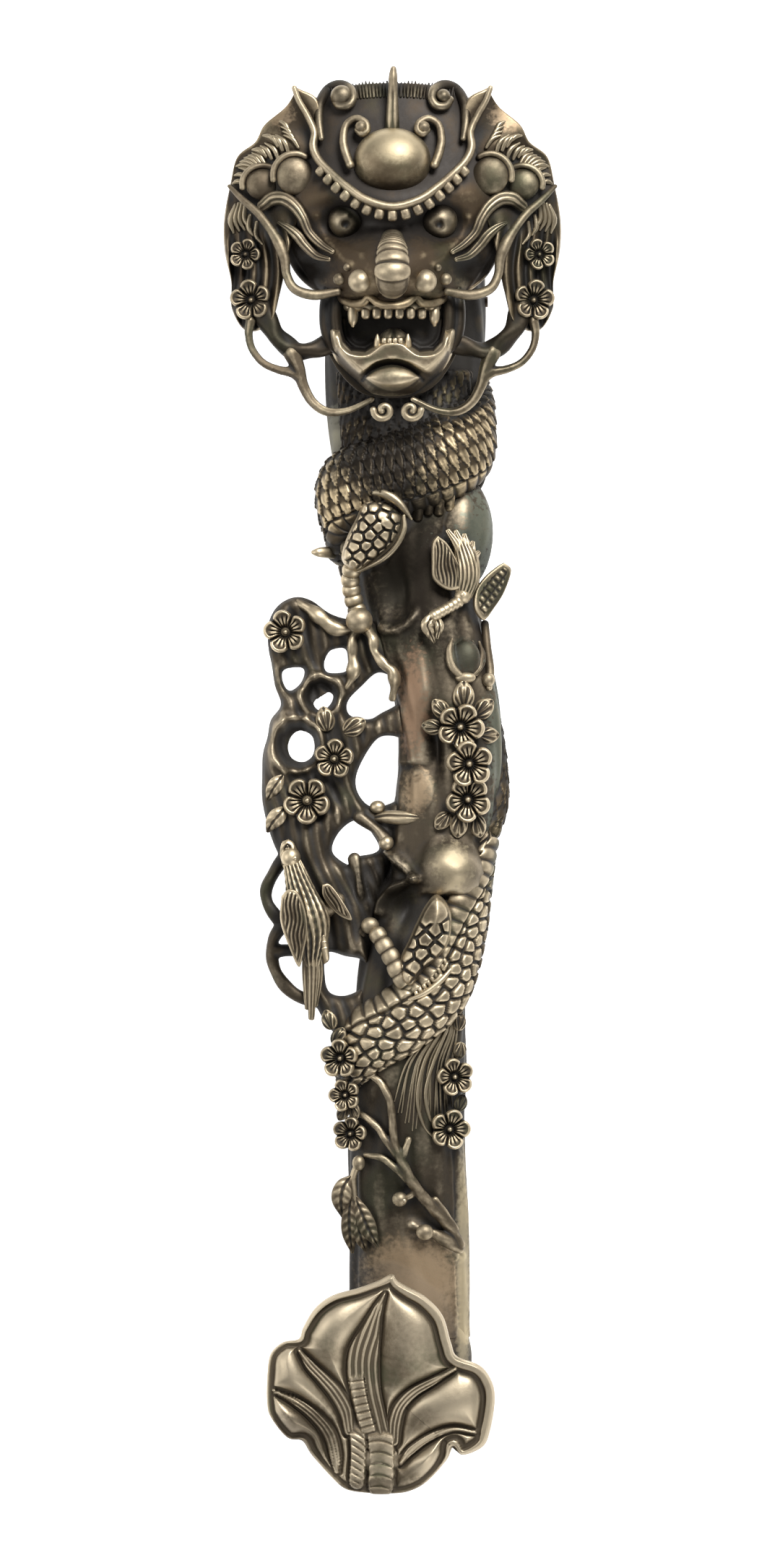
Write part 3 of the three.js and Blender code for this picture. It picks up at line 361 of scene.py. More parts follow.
VERDIGRIS = (114, 120, 106)
PALE = (146, 142, 124)
COPPER = (146, 119, 96)
TAN = (154, 134, 108)
# Painted highlight: a pale cream laid on the burl, the trunk's right edge and the pearl's top.
PAINTED_HIGHLIGHT = (184, 170, 140)
# Painted shade: a near-black laid where shadow falls under the head and chin and in hollows.
PAINTED_SHADE = (32, 28, 24)
BUD_GREEN = (70, 74, 63)
brown_bronze = bronze(
    "brown_bronze",
    grime_and_shade=(33, 29, 24),
    body=(73, 65, 54),
    worn=(159, 146, 124),
    gloss=0.46,
    stains_and_painted_light=[
        # Painted shadow under the chin, then painted shade in the knot hollow and under the coil.
        (PAINTED_SHADE, (-2, 107, 34), (20, 18, 34), 0.95, 0.3),
        (PAINTED_SHADE, (6, 62, 40), (24, 29, 40), 0.85, 0.4),
        # Painted shade over the lower scoops, then in the hollow under the fold.
        (PAINTED_SHADE, (2, -108, 30), (20, 28, 34), 0.3, 0.5),
        (PAINTED_SHADE, (-1.4, -32, 34), (11.5, 14, 26), 0.88, 0.4),
        # Painted highlight on the burl.
        (PAINTED_HIGHLIGHT, (18.2, -25, 40), (6.6, 8.6, 24), 0.5, 0.7),
        (BUD_GREEN, (21.5, 37, 40), (5, 7, 20), 0.5, 0.8),
        (VERDIGRIS, (27, 76, 30), (9, 13, 22), 0.5, 1.7),
        (PALE, (-17.5, 103, 20), (4, 10, 30), 0.7, 0.5),
        # Painted shade in the hollow right of the copper strip.
        (PAINTED_SHADE, (13, 13, 38), (4, 15, 20), 0.7, 0.4),
        (VERDIGRIS, (32, 8, 26), (4.6, 30, 22), 0.5, 1.5),
        (COPPER, (6.2, 22, 38), (5.4, 18, 16), 0.7, 0.7),
        (TAN, (7, -2.4, 38), (5.6, 8.6, 16), 0.75, 0.6),
        (TAN, (7, -148, 26), (18, 15, 30), 0.85, 0.4),
        (TAN, (9, -158, 22), (13, 20, 30), 0.95, 0.2),
        # Painted highlight along the trunk's lower right edge.
        (PAINTED_HIGHLIGHT, (21, -146, 14), (2.6, 46, 30), 0.85, 0.3),
    ],
)
casting("trunk", [flattened(skin(trunk_skin), 0)], brown_bronze, "brown_bronze", "trunk_shell", tone_shift=-0.05)


# Elbows and rivets: the neck turns up behind the dragon's face and the tail behind the leaf. Each is cast
# with a tenon that fills the trunk's mouth, and a copper rivet goes through trunk and tenon.

def track(stations, spacing):
    """Rows along a smooth curve, at even steps of its length."""
    dense = spline(stations, 40 * len(stations))
    step = np.linalg.norm(np.diff(dense[:, :3], axis=0), axis=1)
    length = np.concatenate([[0], np.cumsum(step)])
    count = max(4, int(round(length[-1] / spacing)) + 1)
    even = np.linspace(0, length[-1], count)
    return np.stack([np.interp(even, length, column) for column in dense.T], axis=1), even


def tube(stations, sides=20, flat=1.0, up=(0, 0, 1), spacing=0.7, relief=None):
    """A bar with round ends along stations of x, y, z and radius. Its thickness runs along up, which is one
    vector or one for each station. relief(length, angle) adds height, with angles from 0 to pi in front."""
    stations = np.asarray(stations, float)
    ups = np.broadcast_to(up, (len(stations), 3))
    rows, length = track(np.column_stack([stations, ups]), spacing)
    centre, radius = rows[:, :3], rows[:, 3]
    along = unit(np.gradient(centre, axis=0))
    side = unit(np.cross(along, rows[:, 4:7]))
    lift = np.cross(side, along)
    angle = np.linspace(0, 2 * np.pi, sides, endpoint=False)[None, :]
    extra = relief(length[:, None], angle) if relief else np.zeros((len(rows), sides))
    across = (radius[:, None] + extra) * np.cos(angle)
    upright = (radius[:, None] * flat + extra) * np.sin(angle)
    rings = centre[:, None] + side[:, None] * across[..., None] + lift[:, None] * upright[..., None]
    reach = radius * min(1.0, flat)
    ends = np.radians([20, 42, 62, 80])
    start = [
        centre[0] + (rings[0] - centre[0]) * np.cos(turn) - along[0] * reach[0] * np.sin(turn)
        for turn in ends[::-1]
    ]
    finish = [
        centre[-1] + (rings[-1] - centre[-1]) * np.cos(turn) + along[-1] * reach[-1] * np.sin(turn)
        for turn in ends
    ]
    return skin(np.concatenate([np.array(start), rings, np.array(finish)]))


HEAD_Y = 172
HEAD_Z = 36
LEAF_X = -3
LEAF_Y = -178
LEAF_Z = 36


def elbow_relief(length, angle):
    return 0.45 * np.sin(0.25 * length + 3 * np.sin(angle)) * np.cos(3 * angle)


neck_x, neck_z = float(trunk_centre_x(TRUNK_TOP)), float(trunk_centre_z(TRUNK_TOP))
# Each row of the neck and tail is x, y, z and half width.
neck = [
    (neck_x, TRUNK_TOP - 8, neck_z, 21),
    (neck_x, TRUNK_TOP, neck_z, 23.6),
    (neck_x, TRUNK_TOP + 8.8, neck_z - 2.5, 23),
    (neck_x / 2, HEAD_Y - 3, neck_z + 4, 21),
    (0, HEAD_Y + 2, (neck_z + HEAD_Z) / 2 + 3, 18),
    (0, HEAD_Y + 2, HEAD_Z + 7.5, 16),
]
neck_up = [(0, 0, 1), (0, 0, 1), (0, 0, 1), (0, -0.6, 0.8), (0, -1, 0.2), (0, -1, 0)]
dark_bronze = bronze("dark_bronze", grime_and_shade=(20, 18, 15), body=(60, 53, 44), worn=(146, 134, 112), gloss=0.42)
neck_flat = TRUNK_HALF_DEPTHS[0] / TRUNK_HALF_WIDTHS[0]
neck_skin = tube(neck, sides=72, flat=neck_flat, up=neck_up, relief=elbow_relief)
casting("neck", [flattened(neck_skin, 0)], dark_bronze, "dark_bronze", "neck_elbow")

tail_x, tail_z = float(trunk_centre_x(TRUNK_FOOT)), float(trunk_centre_z(TRUNK_FOOT))
tail = [
    (tail_x, TRUNK_FOOT + 8, tail_z, 15.5),
    (tail_x, TRUNK_FOOT, tail_z, 18.3),
    (tail_x - 0.6, TRUNK_FOOT - 9, tail_z - 2.5, 18.3),
    (tail_x - 4, LEAF_Y - 8, tail_z + 2, 14),
    (LEAF_X - 1, LEAF_Y - 19, (tail_z + LEAF_Z) / 2 - 3, 10.5),
    (LEAF_X - 1, LEAF_Y - 21, LEAF_Z - 2, 8.5),
]
tail_up = [(0, 0, 1), (0, 0, 1), (0, 0, 1), (0, 0.6, 0.8), (0, 1, 0.3), (0, 1, 0)]
tail_flat = TRUNK_HALF_DEPTHS[2] / TRUNK_HALF_WIDTHS[2]
tail_skin = tube(tail, sides=72, flat=tail_flat, up=tail_up, relief=elbow_relief)
casting("tail", [flattened(tail_skin, 0)], brown_bronze, "brown_bronze", "tail_elbow")

copper = bronze("copper", grime_and_shade=(24, 19, 16), body=(74, 60, 48), worn=(140, 118, 94))
RIVET_INSET = 7
for word, rivet_y in (("neck", TRUNK_TOP - RIVET_INSET), ("tail", TRUNK_FOOT + RIVET_INSET)):
    half = float(trunk_half_width(rivet_y))
    middle_x, middle_z = float(trunk_centre_x(rivet_y)), float(trunk_centre_z(rivet_y))
    reaches = [(-half + 1.6, 1.2), (-half + 1.9, 1.6), (-half + 2.3, 1.5)]
    reaches += [(-reach, radius) for reach, radius in reaches[::-1]]
    shank = [(middle_x + reach, rivet_y, middle_z, radius) for reach, radius in reaches]
    casting(f"{word}_rivet_heads", [tube(shank, sides=24, spacing=0.3)], copper, "copper", f"{word}_rivet")


# Dragon's body: one coil of cast bronze, wound round the trunk in three lengths and brazed on. Scales are
# chased on the upper length, on a sleeve under the chin and on the dark length behind, and rounded plates on
# the lower length. Square plates run along the belly.

def scales(length, across, pitch, width, gap=0.06):
    """Height from 0 to 1 of rows of pointed scales, each lying over the root of the next row.
    gap is the share of each left bare at its edge."""
    height = 0
    for row_back in (0, 1):
        row = np.floor(length / pitch) - row_back
        shift = np.mod(row, 2) * 0.5
        place = across / width - shift
        sideways = np.abs(2 * (place - np.round(place)))
        reach = 0.42 + 0.58 * np.clip(1 - sideways, 0, 1) ** 0.75
        out = (length - row * pitch) / (1.9 * pitch)
        inside = (out < reach - gap) & (sideways < 1 - gap)
        swell = (0.35 + 0.65 * out / reach) * (1 - 0.4 * sideways**2)
        height = np.maximum(height, np.where(inside, swell, 0))
    return height


def cobbles(x, y, pitch):
    """Height from 0 to 1 of rounded plates side by side, each a little out of line, with grooves between."""
    nearest, second = np.full(x.shape, np.inf), np.full(x.shape, np.inf)
    for row in range(math.floor(y.min() / pitch) - 1, math.ceil(y.max() / pitch) + 2):
        for column in range(math.floor(x.min() / pitch) - 1, math.ceil(x.max() / pitch) + 2):
            middle_x = pitch * (column + 0.5 * (row % 2) + 0.2 * math.sin(12.9 * column + 7.8 * row))
            middle_y = pitch * (row + 0.2 * math.cos(3.9 * column + 11.1 * row))
            away = np.hypot(x - middle_x, y - middle_y)
            second = np.minimum(second, np.maximum(nearest, away))
            nearest = np.minimum(nearest, away)
    return smooth(0.05, 0.34, (second - nearest) / pitch) * (1 - 0.4 * (nearest / pitch) ** 2)


def plates(length, pitch, power=0.35):
    """Height from 0 to 1 of plates in a row with grooves between. A lower power makes them squarer."""
    return np.abs(np.sin(np.pi * length / pitch)) ** power


# Each row of a coil is y, turn and lift.
UPPER_COIL = [
    (118, 140, -3), (108, 105, -2.5), (102, 72, -1.5), (97, 38, 0), (92, 4, 0), (88, -40, 0), (83, -80, 0),
    (74, -125, 0),
]
BACK_COIL = [(68, -142, 0), (48, -170, 0), (22, -195, -1), (-2, -220, -2), (-14, -234, -3)]
LOWER_COIL = [
    (-18, 118, -3), (-28, 92, -2), (-41, 64, -1), (-60, 31, 0), (-70, -8, 0), (-76, -47, 0), (-82, -90, 0),
    (-86, -130, 0),
]
COIL_FLAT = 0.55
# In half turns round the coil, where the line between back and belly runs.
UPPER_BELLY = 0.735
LOWER_BELLY = 0.35
BELLY_PITCH = 3.1
BELLY_RADIUS = 1.6


def coil(stations, half_widths, relief, sides, spacing=0.45):
    """A length of body along stations of y, turn and lift round the trunk, from its first half width to its
    last."""
    y, turn, lift = np.array(stations, float).T
    radii = np.linspace(*half_widths, len(y))
    path = np.column_stack([trunk_round(y, turn, lift), radii])
    return tube(path, sides=sides, flat=COIL_FLAT, up=trunk_normal(y, turn), spacing=spacing, relief=relief)


def upper_relief(length, angle):
    half_turns = angle / np.pi
    belly = smooth(UPPER_BELLY, 0.75, half_turns) * smooth(1.06, 1.04, half_turns)
    line = peak(half_turns - UPPER_BELLY, 0.012)
    back = 1.9 * scales(9.5 * angle, length, 4.2, 2.8, 0.2)
    return (1 - belly) * back + belly * (0.2 + 1.1 * plates(length, 3.7)) - 0.9 * line


def lower_relief(length, angle):
    half_turns = angle / np.pi
    belly = smooth(LOWER_BELLY, 0.335, half_turns) + smooth(1.95, 1.97, half_turns)
    line = peak(half_turns - LOWER_BELLY, 0.016)
    across = 8 * angle + 0 * length
    back = 1.3 * cobbles(0.8 * length + 0.35 * across, across - 0.3 * length, 3.6)
    return (1 - belly) * back + belly * (0.2 + 1.2 * plates(length, 3.8)) - 1.1 * line


def back_relief(length, angle):
    return scales(length, 9 * angle, 3.4, 4.2)


worn_bronze = bronze("worn_bronze", grime_and_shade=(32, 28, 23), body=(86, 76, 62), worn=(184, 169, 142), gloss=0.46)
coil_bronze = bronze(
    "coil_bronze",
    grime_and_shade=(30, 26, 21),
    body=(72, 62, 48),
    worn=(178, 160, 128),
    gloss=0.46,
    # Both stains are painted shadow under the head and chin.
    stains_and_painted_light=[(PAINTED_SHADE, (-4, 99, 44), (23, 20, 40), 0.96, 0.4), (PAINTED_SHADE, (8, 78, 44), (18, 12, 40), 0.9, 0.4)],
)
belly_plates = []
for x in np.arange(7.7, 27, BELLY_PITCH):
    top_y = 80.4 + 0.5 * x
    reach = 6.8 + 1.2 * math.sin(0.5 * x)
    stations = ((0.4, 0, 2), (0, reach / 2, 1.4), (-0.3, reach, -0.4))
    run = [trunk_front(x + lean, top_y - drop, lift) for lean, drop, lift in stations]
    belly_plates.append(tube([(*place, BELLY_RADIUS) for place in run], sides=20, flat=0.8, spacing=0.5))
upper_coil = coil(UPPER_COIL, (11.4, 11.4), upper_relief, 170, 0.32)
lower_coil = coil(LOWER_COIL, (9, 9), lower_relief, 130)
back_coil = coil(BACK_COIL, (11.6, 9.2), back_relief, 110)
SLEEVE_FOOT = 94
SLEEVE_TOP = 124
sleeve_y = np.linspace(SLEEVE_FOOT, SLEEVE_TOP, 88)[:, None]
sleeve_turn = np.linspace(-180, 180, 300, endpoint=False)[None, :]
sleeve_x = trunk_half_width(sleeve_y) * np.radians(sleeve_turn)
shown = smooth(72, 50, np.abs(sleeve_turn))
shown = shown * smooth(SLEEVE_FOOT, SLEEVE_FOOT + 3, sleeve_y) * smooth(SLEEVE_TOP, SLEEVE_TOP - 3, sleeve_y)
sleeve_scales = scales(200 - sleeve_y + 0.4 * sleeve_x, sleeve_x + 0 * sleeve_y, 4.2, 2.9, 0.2)
neck_sleeve = skin(trunk_round(sleeve_y, sleeve_turn, shown * (2.2 + 1.3 * sleeve_scales) - 1.4))
upper_parts = [upper_coil, *belly_plates]
casting("coil_upper", upper_parts, coil_bronze, "worn_bronze", "dragon_coil_upper", tone_shift=-0.16)
casting("coil_neck", [neck_sleeve], coil_bronze, "worn_bronze", "dragon_coil_upper", tone_shift=-0.26)
casting("coil_lower", [lower_coil], worn_bronze, "worn_bronze", "dragon_coil_lower", tone_shift=-0.1)
casting("coil_back", [back_coil], coil_bronze, "dark_bronze", "dragon_coil_back", tone_shift=-0.2)


# Dragon's face: a hollow mask cast with its brow, cheeks, muzzle and curled upper lip, and hair laid at its
# crown. Sizes here are in the head's frame: u right and v up from the mask's middle.

def face(u, v):
    muzzle = 17 * hill(u, v + 23, 15, 11)
    brow = 5 * hill(u, v + 1, 26, 7)
    sockets = 4 * hill(np.abs(u) - 14.5, v + 7.5, 6, 5)
    return 15 * mound(u, v - 1, 34, 37) + muzzle + brow - sockets


def in_head(u, v, height):
    return np.stack(np.broadcast_arrays(u, HEAD_Y + v, HEAD_Z + height), axis=-1).astype(float)


def on_face(path, lift, radii):
    """Stations for a bar laid on the face along a path of u and v."""
    u, v = np.array(path, float).T
    return np.column_stack([in_head(u, v, face(u, v) + lift), np.broadcast_to(radii, u.shape)])


def plate(outline, top, back, rings=60, bulge=0.4):
    """A closed plate with a rounded edge, inside an outline round its middle. top and back give the heights
    of its two faces."""

    def level(count, height):
        flat = outline[None] * np.linspace(0.015, 1, count)[:, None, None]
        return np.dstack([flat, height(flat[..., 0], flat[..., 1])])

    over, under = level(rings, top), level(max(rings // 3, 6), back)
    rows = [under]
    out = unit(outline)
    for turn in (0.2, 0.5, 0.8):
        side = outline + out * bulge * math.sin(math.pi * turn)
        height = under[-1, :, 2] + (over[-1, :, 2] - under[-1, :, 2]) * turn
        rows.append(np.column_stack([side, height])[None])
    rows.append(over[::-1])
    return skin(np.concatenate(rows))


def level_at(height):
    """A level face for a plate."""
    return lambda x, y: height + 0 * x


def moved(shell, x, y, z):
    return shell[0] + np.array([x, y, z], float), shell[1]


def square_oval(half_width, up, down, power, sectors):
    angle = np.linspace(0, 2 * np.pi, sectors, endpoint=False)
    half_height = np.where(np.sin(angle) > 0, up, down)
    across = np.abs(np.cos(angle) / half_width) ** power
    upright = np.abs(np.sin(angle) / half_height) ** power
    reach = (across + upright) ** (-1 / power)
    return np.column_stack([reach * np.cos(angle), reach * np.sin(angle)])


def combed(roots, tips, height, count, radius, bow=0.0):
    """Locks of hair side by side, from a path of roots to a path of tips. They lie at height(u, v)."""
    locks = []
    for k, (root, tip) in enumerate(zip(spline(roots, count), spline(tips, count))):
        reach = tip - root
        bend = bow * np.array([-reach[1], reach[0]])
        end = root + reach * (0.94 + 0.06 * math.sin(5.3 * k))
        u, v = np.stack([root, root + reach / 2 + bend, end]).T
        thickness = radius * (1 + 0.2 * math.sin(3.1 * k)) * np.array([0.7, 1, 0.4])
        locks.append(tube(np.column_stack([in_head(u, v, height(u, v)), thickness]), sides=8, spacing=1.0))
    return locks


def mask_top(u, v):
    side = np.abs(u)
    sockets = -4 * hill(side - 14.2, v + 7.4, 7.2, 5.2) - 3 * hill(u, v + 9, 8, 3.2)
    sockets = sockets - 5 * hill(side - 23.4, v + 20.6, 4.8, 3.6)
    folds = 0.9 * ridge(side, v, [(22, -6), (19.5, -12), (15.5, -17.5), (12.4, -20)], 1.8)
    folds = folds + 0.5 * ridge(side, v, [(18.6, -9), (15.4, -14), (11.6, -16.6), (9.4, -17.6)], 1.6)
    basin = -2.2 * hill(u, v - 8, 16, 14)
    pads = 2.0 * hill(side - 10, v + 27.5, 6, 3.2)
    return np.maximum(face(u, v), 4) + sockets + folds + basin + pads


def mask_back(u, v):
    return np.maximum(face(u, v) - 6, 0)


def mirrored(half):
    """A path from left to right, from the points of its left half."""
    return half + [(-u, v) for u, v in half[::-1] if u]


MASK_EDGE = square_oval(32.6, 33.6, 30.6, 3, 300)
mask = moved(plate(MASK_EDGE, mask_top, mask_back, rings=95), 0, HEAD_Y, HEAD_Z)
LIP = mirrored([
    (-16.6, -28.2), (-14.4, -30.4), (-11.6, -31.6), (-8.6, -31.4), (-6.8, -30), (-4.4, -31.6), (-2, -32.4),
    (0, -32.5),
])
LIP_RADII = [0.8, 1.1, 1.2, 1.2, 1.0, 1.2, 1.2, 1.1, 1.2, 1.2, 1.0, 1.2, 1.2, 1.1, 0.8]
lip_stations = on_face(LIP, 0, LIP_RADII)
lip_stations[:, 2] = HEAD_Z + face(lip_stations[:, 0], -28.5) - 1.2
crown_roots = mirrored([(-17, 28), (-9, 29.2), (0, 29.6)])
crown_tips = mirrored([(-18, 33), (-9.6, 34.2), (0, 34.4)])
crown_hair = combed(crown_roots, crown_tips, lambda u, v: np.maximum(face(u, v), 4) + 0.1, 38, 0.52)
upper_lip = tube(lip_stations, sides=20, spacing=0.4)
mask_bronze = bronze(
    "mask_bronze",
    grime_and_shade=(40, 34, 28),
    body=(78, 66, 52),
    worn=(178, 160, 129),
    gloss=0.46,
    stains_and_painted_light=[
        # Painted shade in the hollows under the cheek fins and whiskers.
        (PAINTED_SHADE, (-25, HEAD_Y - 20.5, 46), (9.5, 6.4, 40), 0.95, 0.3),
        (PAINTED_SHADE, (25, HEAD_Y - 20.5, 46), (9.5, 6.4, 40), 0.95, 0.3),
        # Painted shadow under the brow across the nose, then painted shade round the eyes.
        (PAINTED_SHADE, (0, HEAD_Y - 9.4, 58), (24, 4.6, 40), 0.75, 0.4),
        (PAINTED_SHADE, (-14, HEAD_Y - 7.6, 50), (9.5, 7.2, 40), 0.7, 0.4),
        (PAINTED_SHADE, (14, HEAD_Y - 7.6, 50), (9.5, 7.2, 40), 0.7, 0.4),
    ],
)
casting("mask", [mask, upper_lip], mask_bronze, "worn_bronze", "face_mask", tone_shift=-0.2)
casting("crown_hair", crown_hair, dark_bronze, "worn_bronze", "face_mask", tone_shift=-0.25)


# Lower jaw and mouth: the jaw is a cast dish with a rolled lip, a bulb of chin under it and nested folds at
# its corners. A tongue with small teeth lies inside, and six teeth between two fangs are set under the lip.

def edge_distance(x, y, loop):
    """How far each point is inside a closed loop, or less than 0 outside it."""
    nearest = np.full(x.shape, np.inf)
    inside = np.zeros(x.shape, bool)
    for (from_x, from_y), (to_x, to_y) in zip(loop, np.roll(loop, -1, axis=0)):
        run_x, run_y = to_x - from_x, to_y - from_y
        share = np.clip(((x - from_x) * run_x + (y - from_y) * run_y) / (run_x**2 + run_y**2), 0, 1)
        nearest = np.minimum(nearest, np.hypot(x - from_x - share * run_x, y - from_y - share * run_y))
        if run_y:
            inside ^= ((from_y > y) != (to_y > y)) & (x < from_x + run_x * (y - from_y) / run_y)
    return np.where(inside, nearest, -nearest)


def closed_spline(points, count):
    """A smooth closed curve through points, with count steps from each to the next."""
    ring = points[-2:] + points + points[:3]
    dense = spline(ring, (len(ring) - 1) * count + 1)
    return dense[2 * count : -2 * count - 1]


JAW_Y = HEAD_Y - 48
JAW_Z = HEAD_Z + 2
JAW_LIP = mirrored([
    (-16.4, 17), (-16, 10), (-14.6, 4.8), (-12.1, 2.2), (-8, 1.8), (-5.4, 3.4), (-3.2, 5), (0, 5.5),
])
JAW_EDGE = [
    (0, 18), (-12, 18.8), (-18.6, 19), (-20.2, 14), (-20, 8), (-18.4, 2), (-15.4, -3), (-12, -6.8),
    (-7.6, -9.6), (0, -10.6), (7.6, -9.6), (12.4, -6.8), (15.6, -3), (18.4, 2), (20, 8), (20.2, 14),
    (18.6, 19), (12, 18.8),
]
LIP_BAND = [
    (-18.4, 8.4), (-17.6, 4), (-14.2, -1), (-10, -4.6), (-7.4, -3.4), (-4.4, -1.4), (0, -0.6), (4.4, -1.4),
    (7.6, -3.2), (11.2, -4.4), (14.6, -1.4), (17.8, 4), (18.6, 8.4), (17.4, 10.2), (15.8, 8.4), (14.6, 4.8),
    (12.2, 2.4), (8, 2), (5.4, 3.6), (3.2, 5.2), (0, 5.7), (-3.2, 5.2), (-5.4, 3.6), (-8, 2), (-12.2, 2.4),
    (-14.6, 4.8), (-15.8, 8.4), (-17.2, 10.2),
]
CHIN = [
    (-19.4, 9), (-18.2, 3.6), (-14.4, -1), (-10, -5), (-6, -8.4), (0, -9.6), (6, -8.4), (10.6, -5),
    (14.8, -1.4), (18.4, 3.6), (19.6, 9), (19.2, 17), (0, 18), (-19.2, 17),
]


def jaw_top(u, v):
    side = np.abs(u)
    lip_v = np.interp(side, [0, 3.2, 5.4, 8, 12.1, 14.6, 16, 16.8], [5.5, 5, 3.4, 1.8, 2.2, 4.8, 10, 20])
    mouth = smooth(0.2, 2.2, v - lip_v)
    mouth = np.maximum(mouth, smooth(14, 15.6, side) * smooth(8.4, 10.8, v))
    roll = 1.1 * peak(off_path(u, v, JAW_LIP, 140)[0], 0.8) * smooth(9, 6, v)
    inner_roll = 0.9 * ridge(side, v, [(14.4, 12), (13.6, 7.4), (11.4, 4.8), (8.4, 4.2), (6, 5.4)], 0.8)
    chin = 0.6 + 8.4 * smooth(-1.5, 2.5, edge_distance(u, v, chin_loop))
    band = 2.6 * smooth(-0.2, 1.2, edge_distance(u, v, lip_band))
    folds = 0.6 * np.cos(2 * np.pi * (side - 0.12 * v) / 2.4) * smooth(14.5, 16.5, side) * smooth(-2, 4, v)
    half_v = 3.9 * np.clip(1 - (u / 8.2) ** 2, 0.02, 1)
    bulb = 4.6 * mound(v + 5.1, 0, half_v, 1) * np.sqrt(np.clip(1 - (u / 8.2) ** 2, 0, 1))
    smile = -1.4 * ridge(u, v, [(-8.6, -5.4), (-5, -2.6), (0.3, -1.4), (5.4, -2.6), (8.8, -5.4)], 0.6)
    return (1 - mouth) * (chin + band + smile + bulb) + mouth * 1.5 + roll + inner_roll + folds


lip_band = closed_spline(LIP_BAND, 4)
chin_loop = closed_spline(CHIN, 4)
jaw_edge = closed_spline(JAW_EDGE, 12)
jaw = moved(plate(jaw_edge * 0.93, jaw_top, level_at(0), rings=90), 0, JAW_Y, JAW_Z)
collar = moved(plate(jaw_edge, level_at(1.2), level_at(0), rings=30), 0, JAW_Y, JAW_Z)
casting("jaw", [jaw], worn_bronze, "worn_bronze", "lower_jaw", tone_shift=-0.04)
corner_bars = []
for side in (-1, 1):
    for out, depth in ((16.2, 6), (19.2, 4.6)):
        path = [(out, 21.4), (out + 0.5, 16), (out + 0.3, 9.6), (out - 1.2, 5), (out - 4, 1.4)]
        radii = (1.3, 1.8, 1.8, 1.5, 0.8)
        stations = [(u * side, JAW_Y + v, JAW_Z + depth, radius) for (u, v), radius in zip(path, radii)]
        corner_bars.append(tube(stations, sides=18, flat=1.3, spacing=0.5))
corner_folds = [collar, *corner_bars]
# Its tone is lowered far below the jaw's: painted shade in the folds and round the collar.
casting("mouth_corners", corner_folds, dark_bronze, "worn_bronze", "lower_jaw", weld=0.42, tone_shift=-0.4)


def pebble(centre, size, power=1.0, sides=32, rows=18, turn=0.0, relief=None):
    """A rounded lump. A power of 1 makes an ellipsoid and a smaller one a softened box."""
    tilt = np.linspace(-np.pi / 2, np.pi / 2, rows + 2)[1:-1][:, None]
    angle = np.linspace(0, 2 * np.pi, sides, endpoint=False)[None, :]

    def bent(wave):
        return np.sign(wave) * np.abs(wave) ** power

    x = size[0] * bent(np.cos(tilt)) * bent(np.cos(angle))
    y = size[1] * bent(np.cos(tilt)) * bent(np.sin(angle))
    z = size[2] * bent(np.sin(tilt)) + 0 * angle
    if relief:
        z = z + relief(x, y) * (z > 0)
    cosine, sine = math.cos(math.radians(turn)), math.sin(math.radians(turn))
    points = np.stack([x * cosine - y * sine, x * sine + y * cosine, z], axis=-1)
    return skin(points + np.asarray(centre, float))


def tongue_groove(x, y):
    return -0.9 * peak(x, 0.8) - 0.25 * np.cos(1.6 * y)


tongue = pebble((0.4, JAW_Y + 5.4, JAW_Z + 3.4), (4.6, 4.4, 4), sides=60, rows=40, relief=tongue_groove)
lower_teeth = [
    pebble((u, JAW_Y + 5.6, JAW_Z + 11), (0.75, 0.95, 1.2), power=0.6, sides=16, rows=10)
    for u in (-2.4, -0.8, 0.8, 2.4)
]
LOWER_FANG = [(4.4, 10, 1.1), (6, 10.4, 0.85), (7.4, 10.6, 0.3)]
lower_fangs = [
    tube([(u, JAW_Y + v, JAW_Z + height, radius) for v, height, radius in LOWER_FANG], sides=14, spacing=0.3)
    for u in (-4.4, 4.6)
]
casting("tongue", [tongue, *lower_teeth, *lower_fangs], worn_bronze, "worn_bronze", "tongue")

GUM_V = -33
TOOTH_PITCH = 3.3
gum_height = float(face(0, -29)) - 6


def gum_line(u):
    return gum_height - 6 * (u / 13) ** 2


teeth = [
    pebble(in_head(u, GUM_V - 1.3, gum_line(u)), (1.3, 1.8, 1.4), power=0.7, sides=24, rows=14)
    for u in 0.4 + (np.arange(6) - 2.5) * TOOTH_PITCH
]


def fang(u, length, radius):
    shape = [(0.6, 0.85), (-0.3 * length, 1), (-0.75 * length, 0.8), (-length, 0.35)]
    stations = [(*in_head(u, GUM_V + v, gum_line(u)), radius * share) for v, share in shape]
    return tube(stations, sides=16, spacing=0.3)


gum = tube(
    [(*in_head(u, GUM_V + 0.9, gum_line(u) - 0.6), 1.4) for u in np.linspace(-13, 13, 9)],
    sides=18,
    spacing=0.5,
    relief=lambda length, angle: 0.2 * np.sin(2 * np.pi * length / TOOTH_PITCH) + 0 * angle,
)
upper_teeth = [gum, *teeth, fang(-11.6, 4.8, 1.6), fang(12.4, 4.6, 1.6)]
casting("teeth", upper_teeth, worn_bronze, "worn_bronze", "upper_teeth")


# Nose and eyes: the nose is chased with cross wrinkles between two round nostrils, with small beads by each.
# The eyes are dark balls with a pitted pupil, cast apart and set in the sockets.

NOSE_FOLDS = [0, 1.8, 3, 4.2, 5.4, 6.6, 8, 10, 12.8, 15.8, 19]


def wrinkles(length, angle):
    fold = np.interp(length, NOSE_FOLDS, np.arange(len(NOSE_FOLDS)))
    band = plates(fold, 1)
    depth = 0.45 + 0.55 * smooth(5, 10, length)
    return (1.3 * band - 0.8) * depth * smooth(-0.2, 0.3, np.sin(angle))


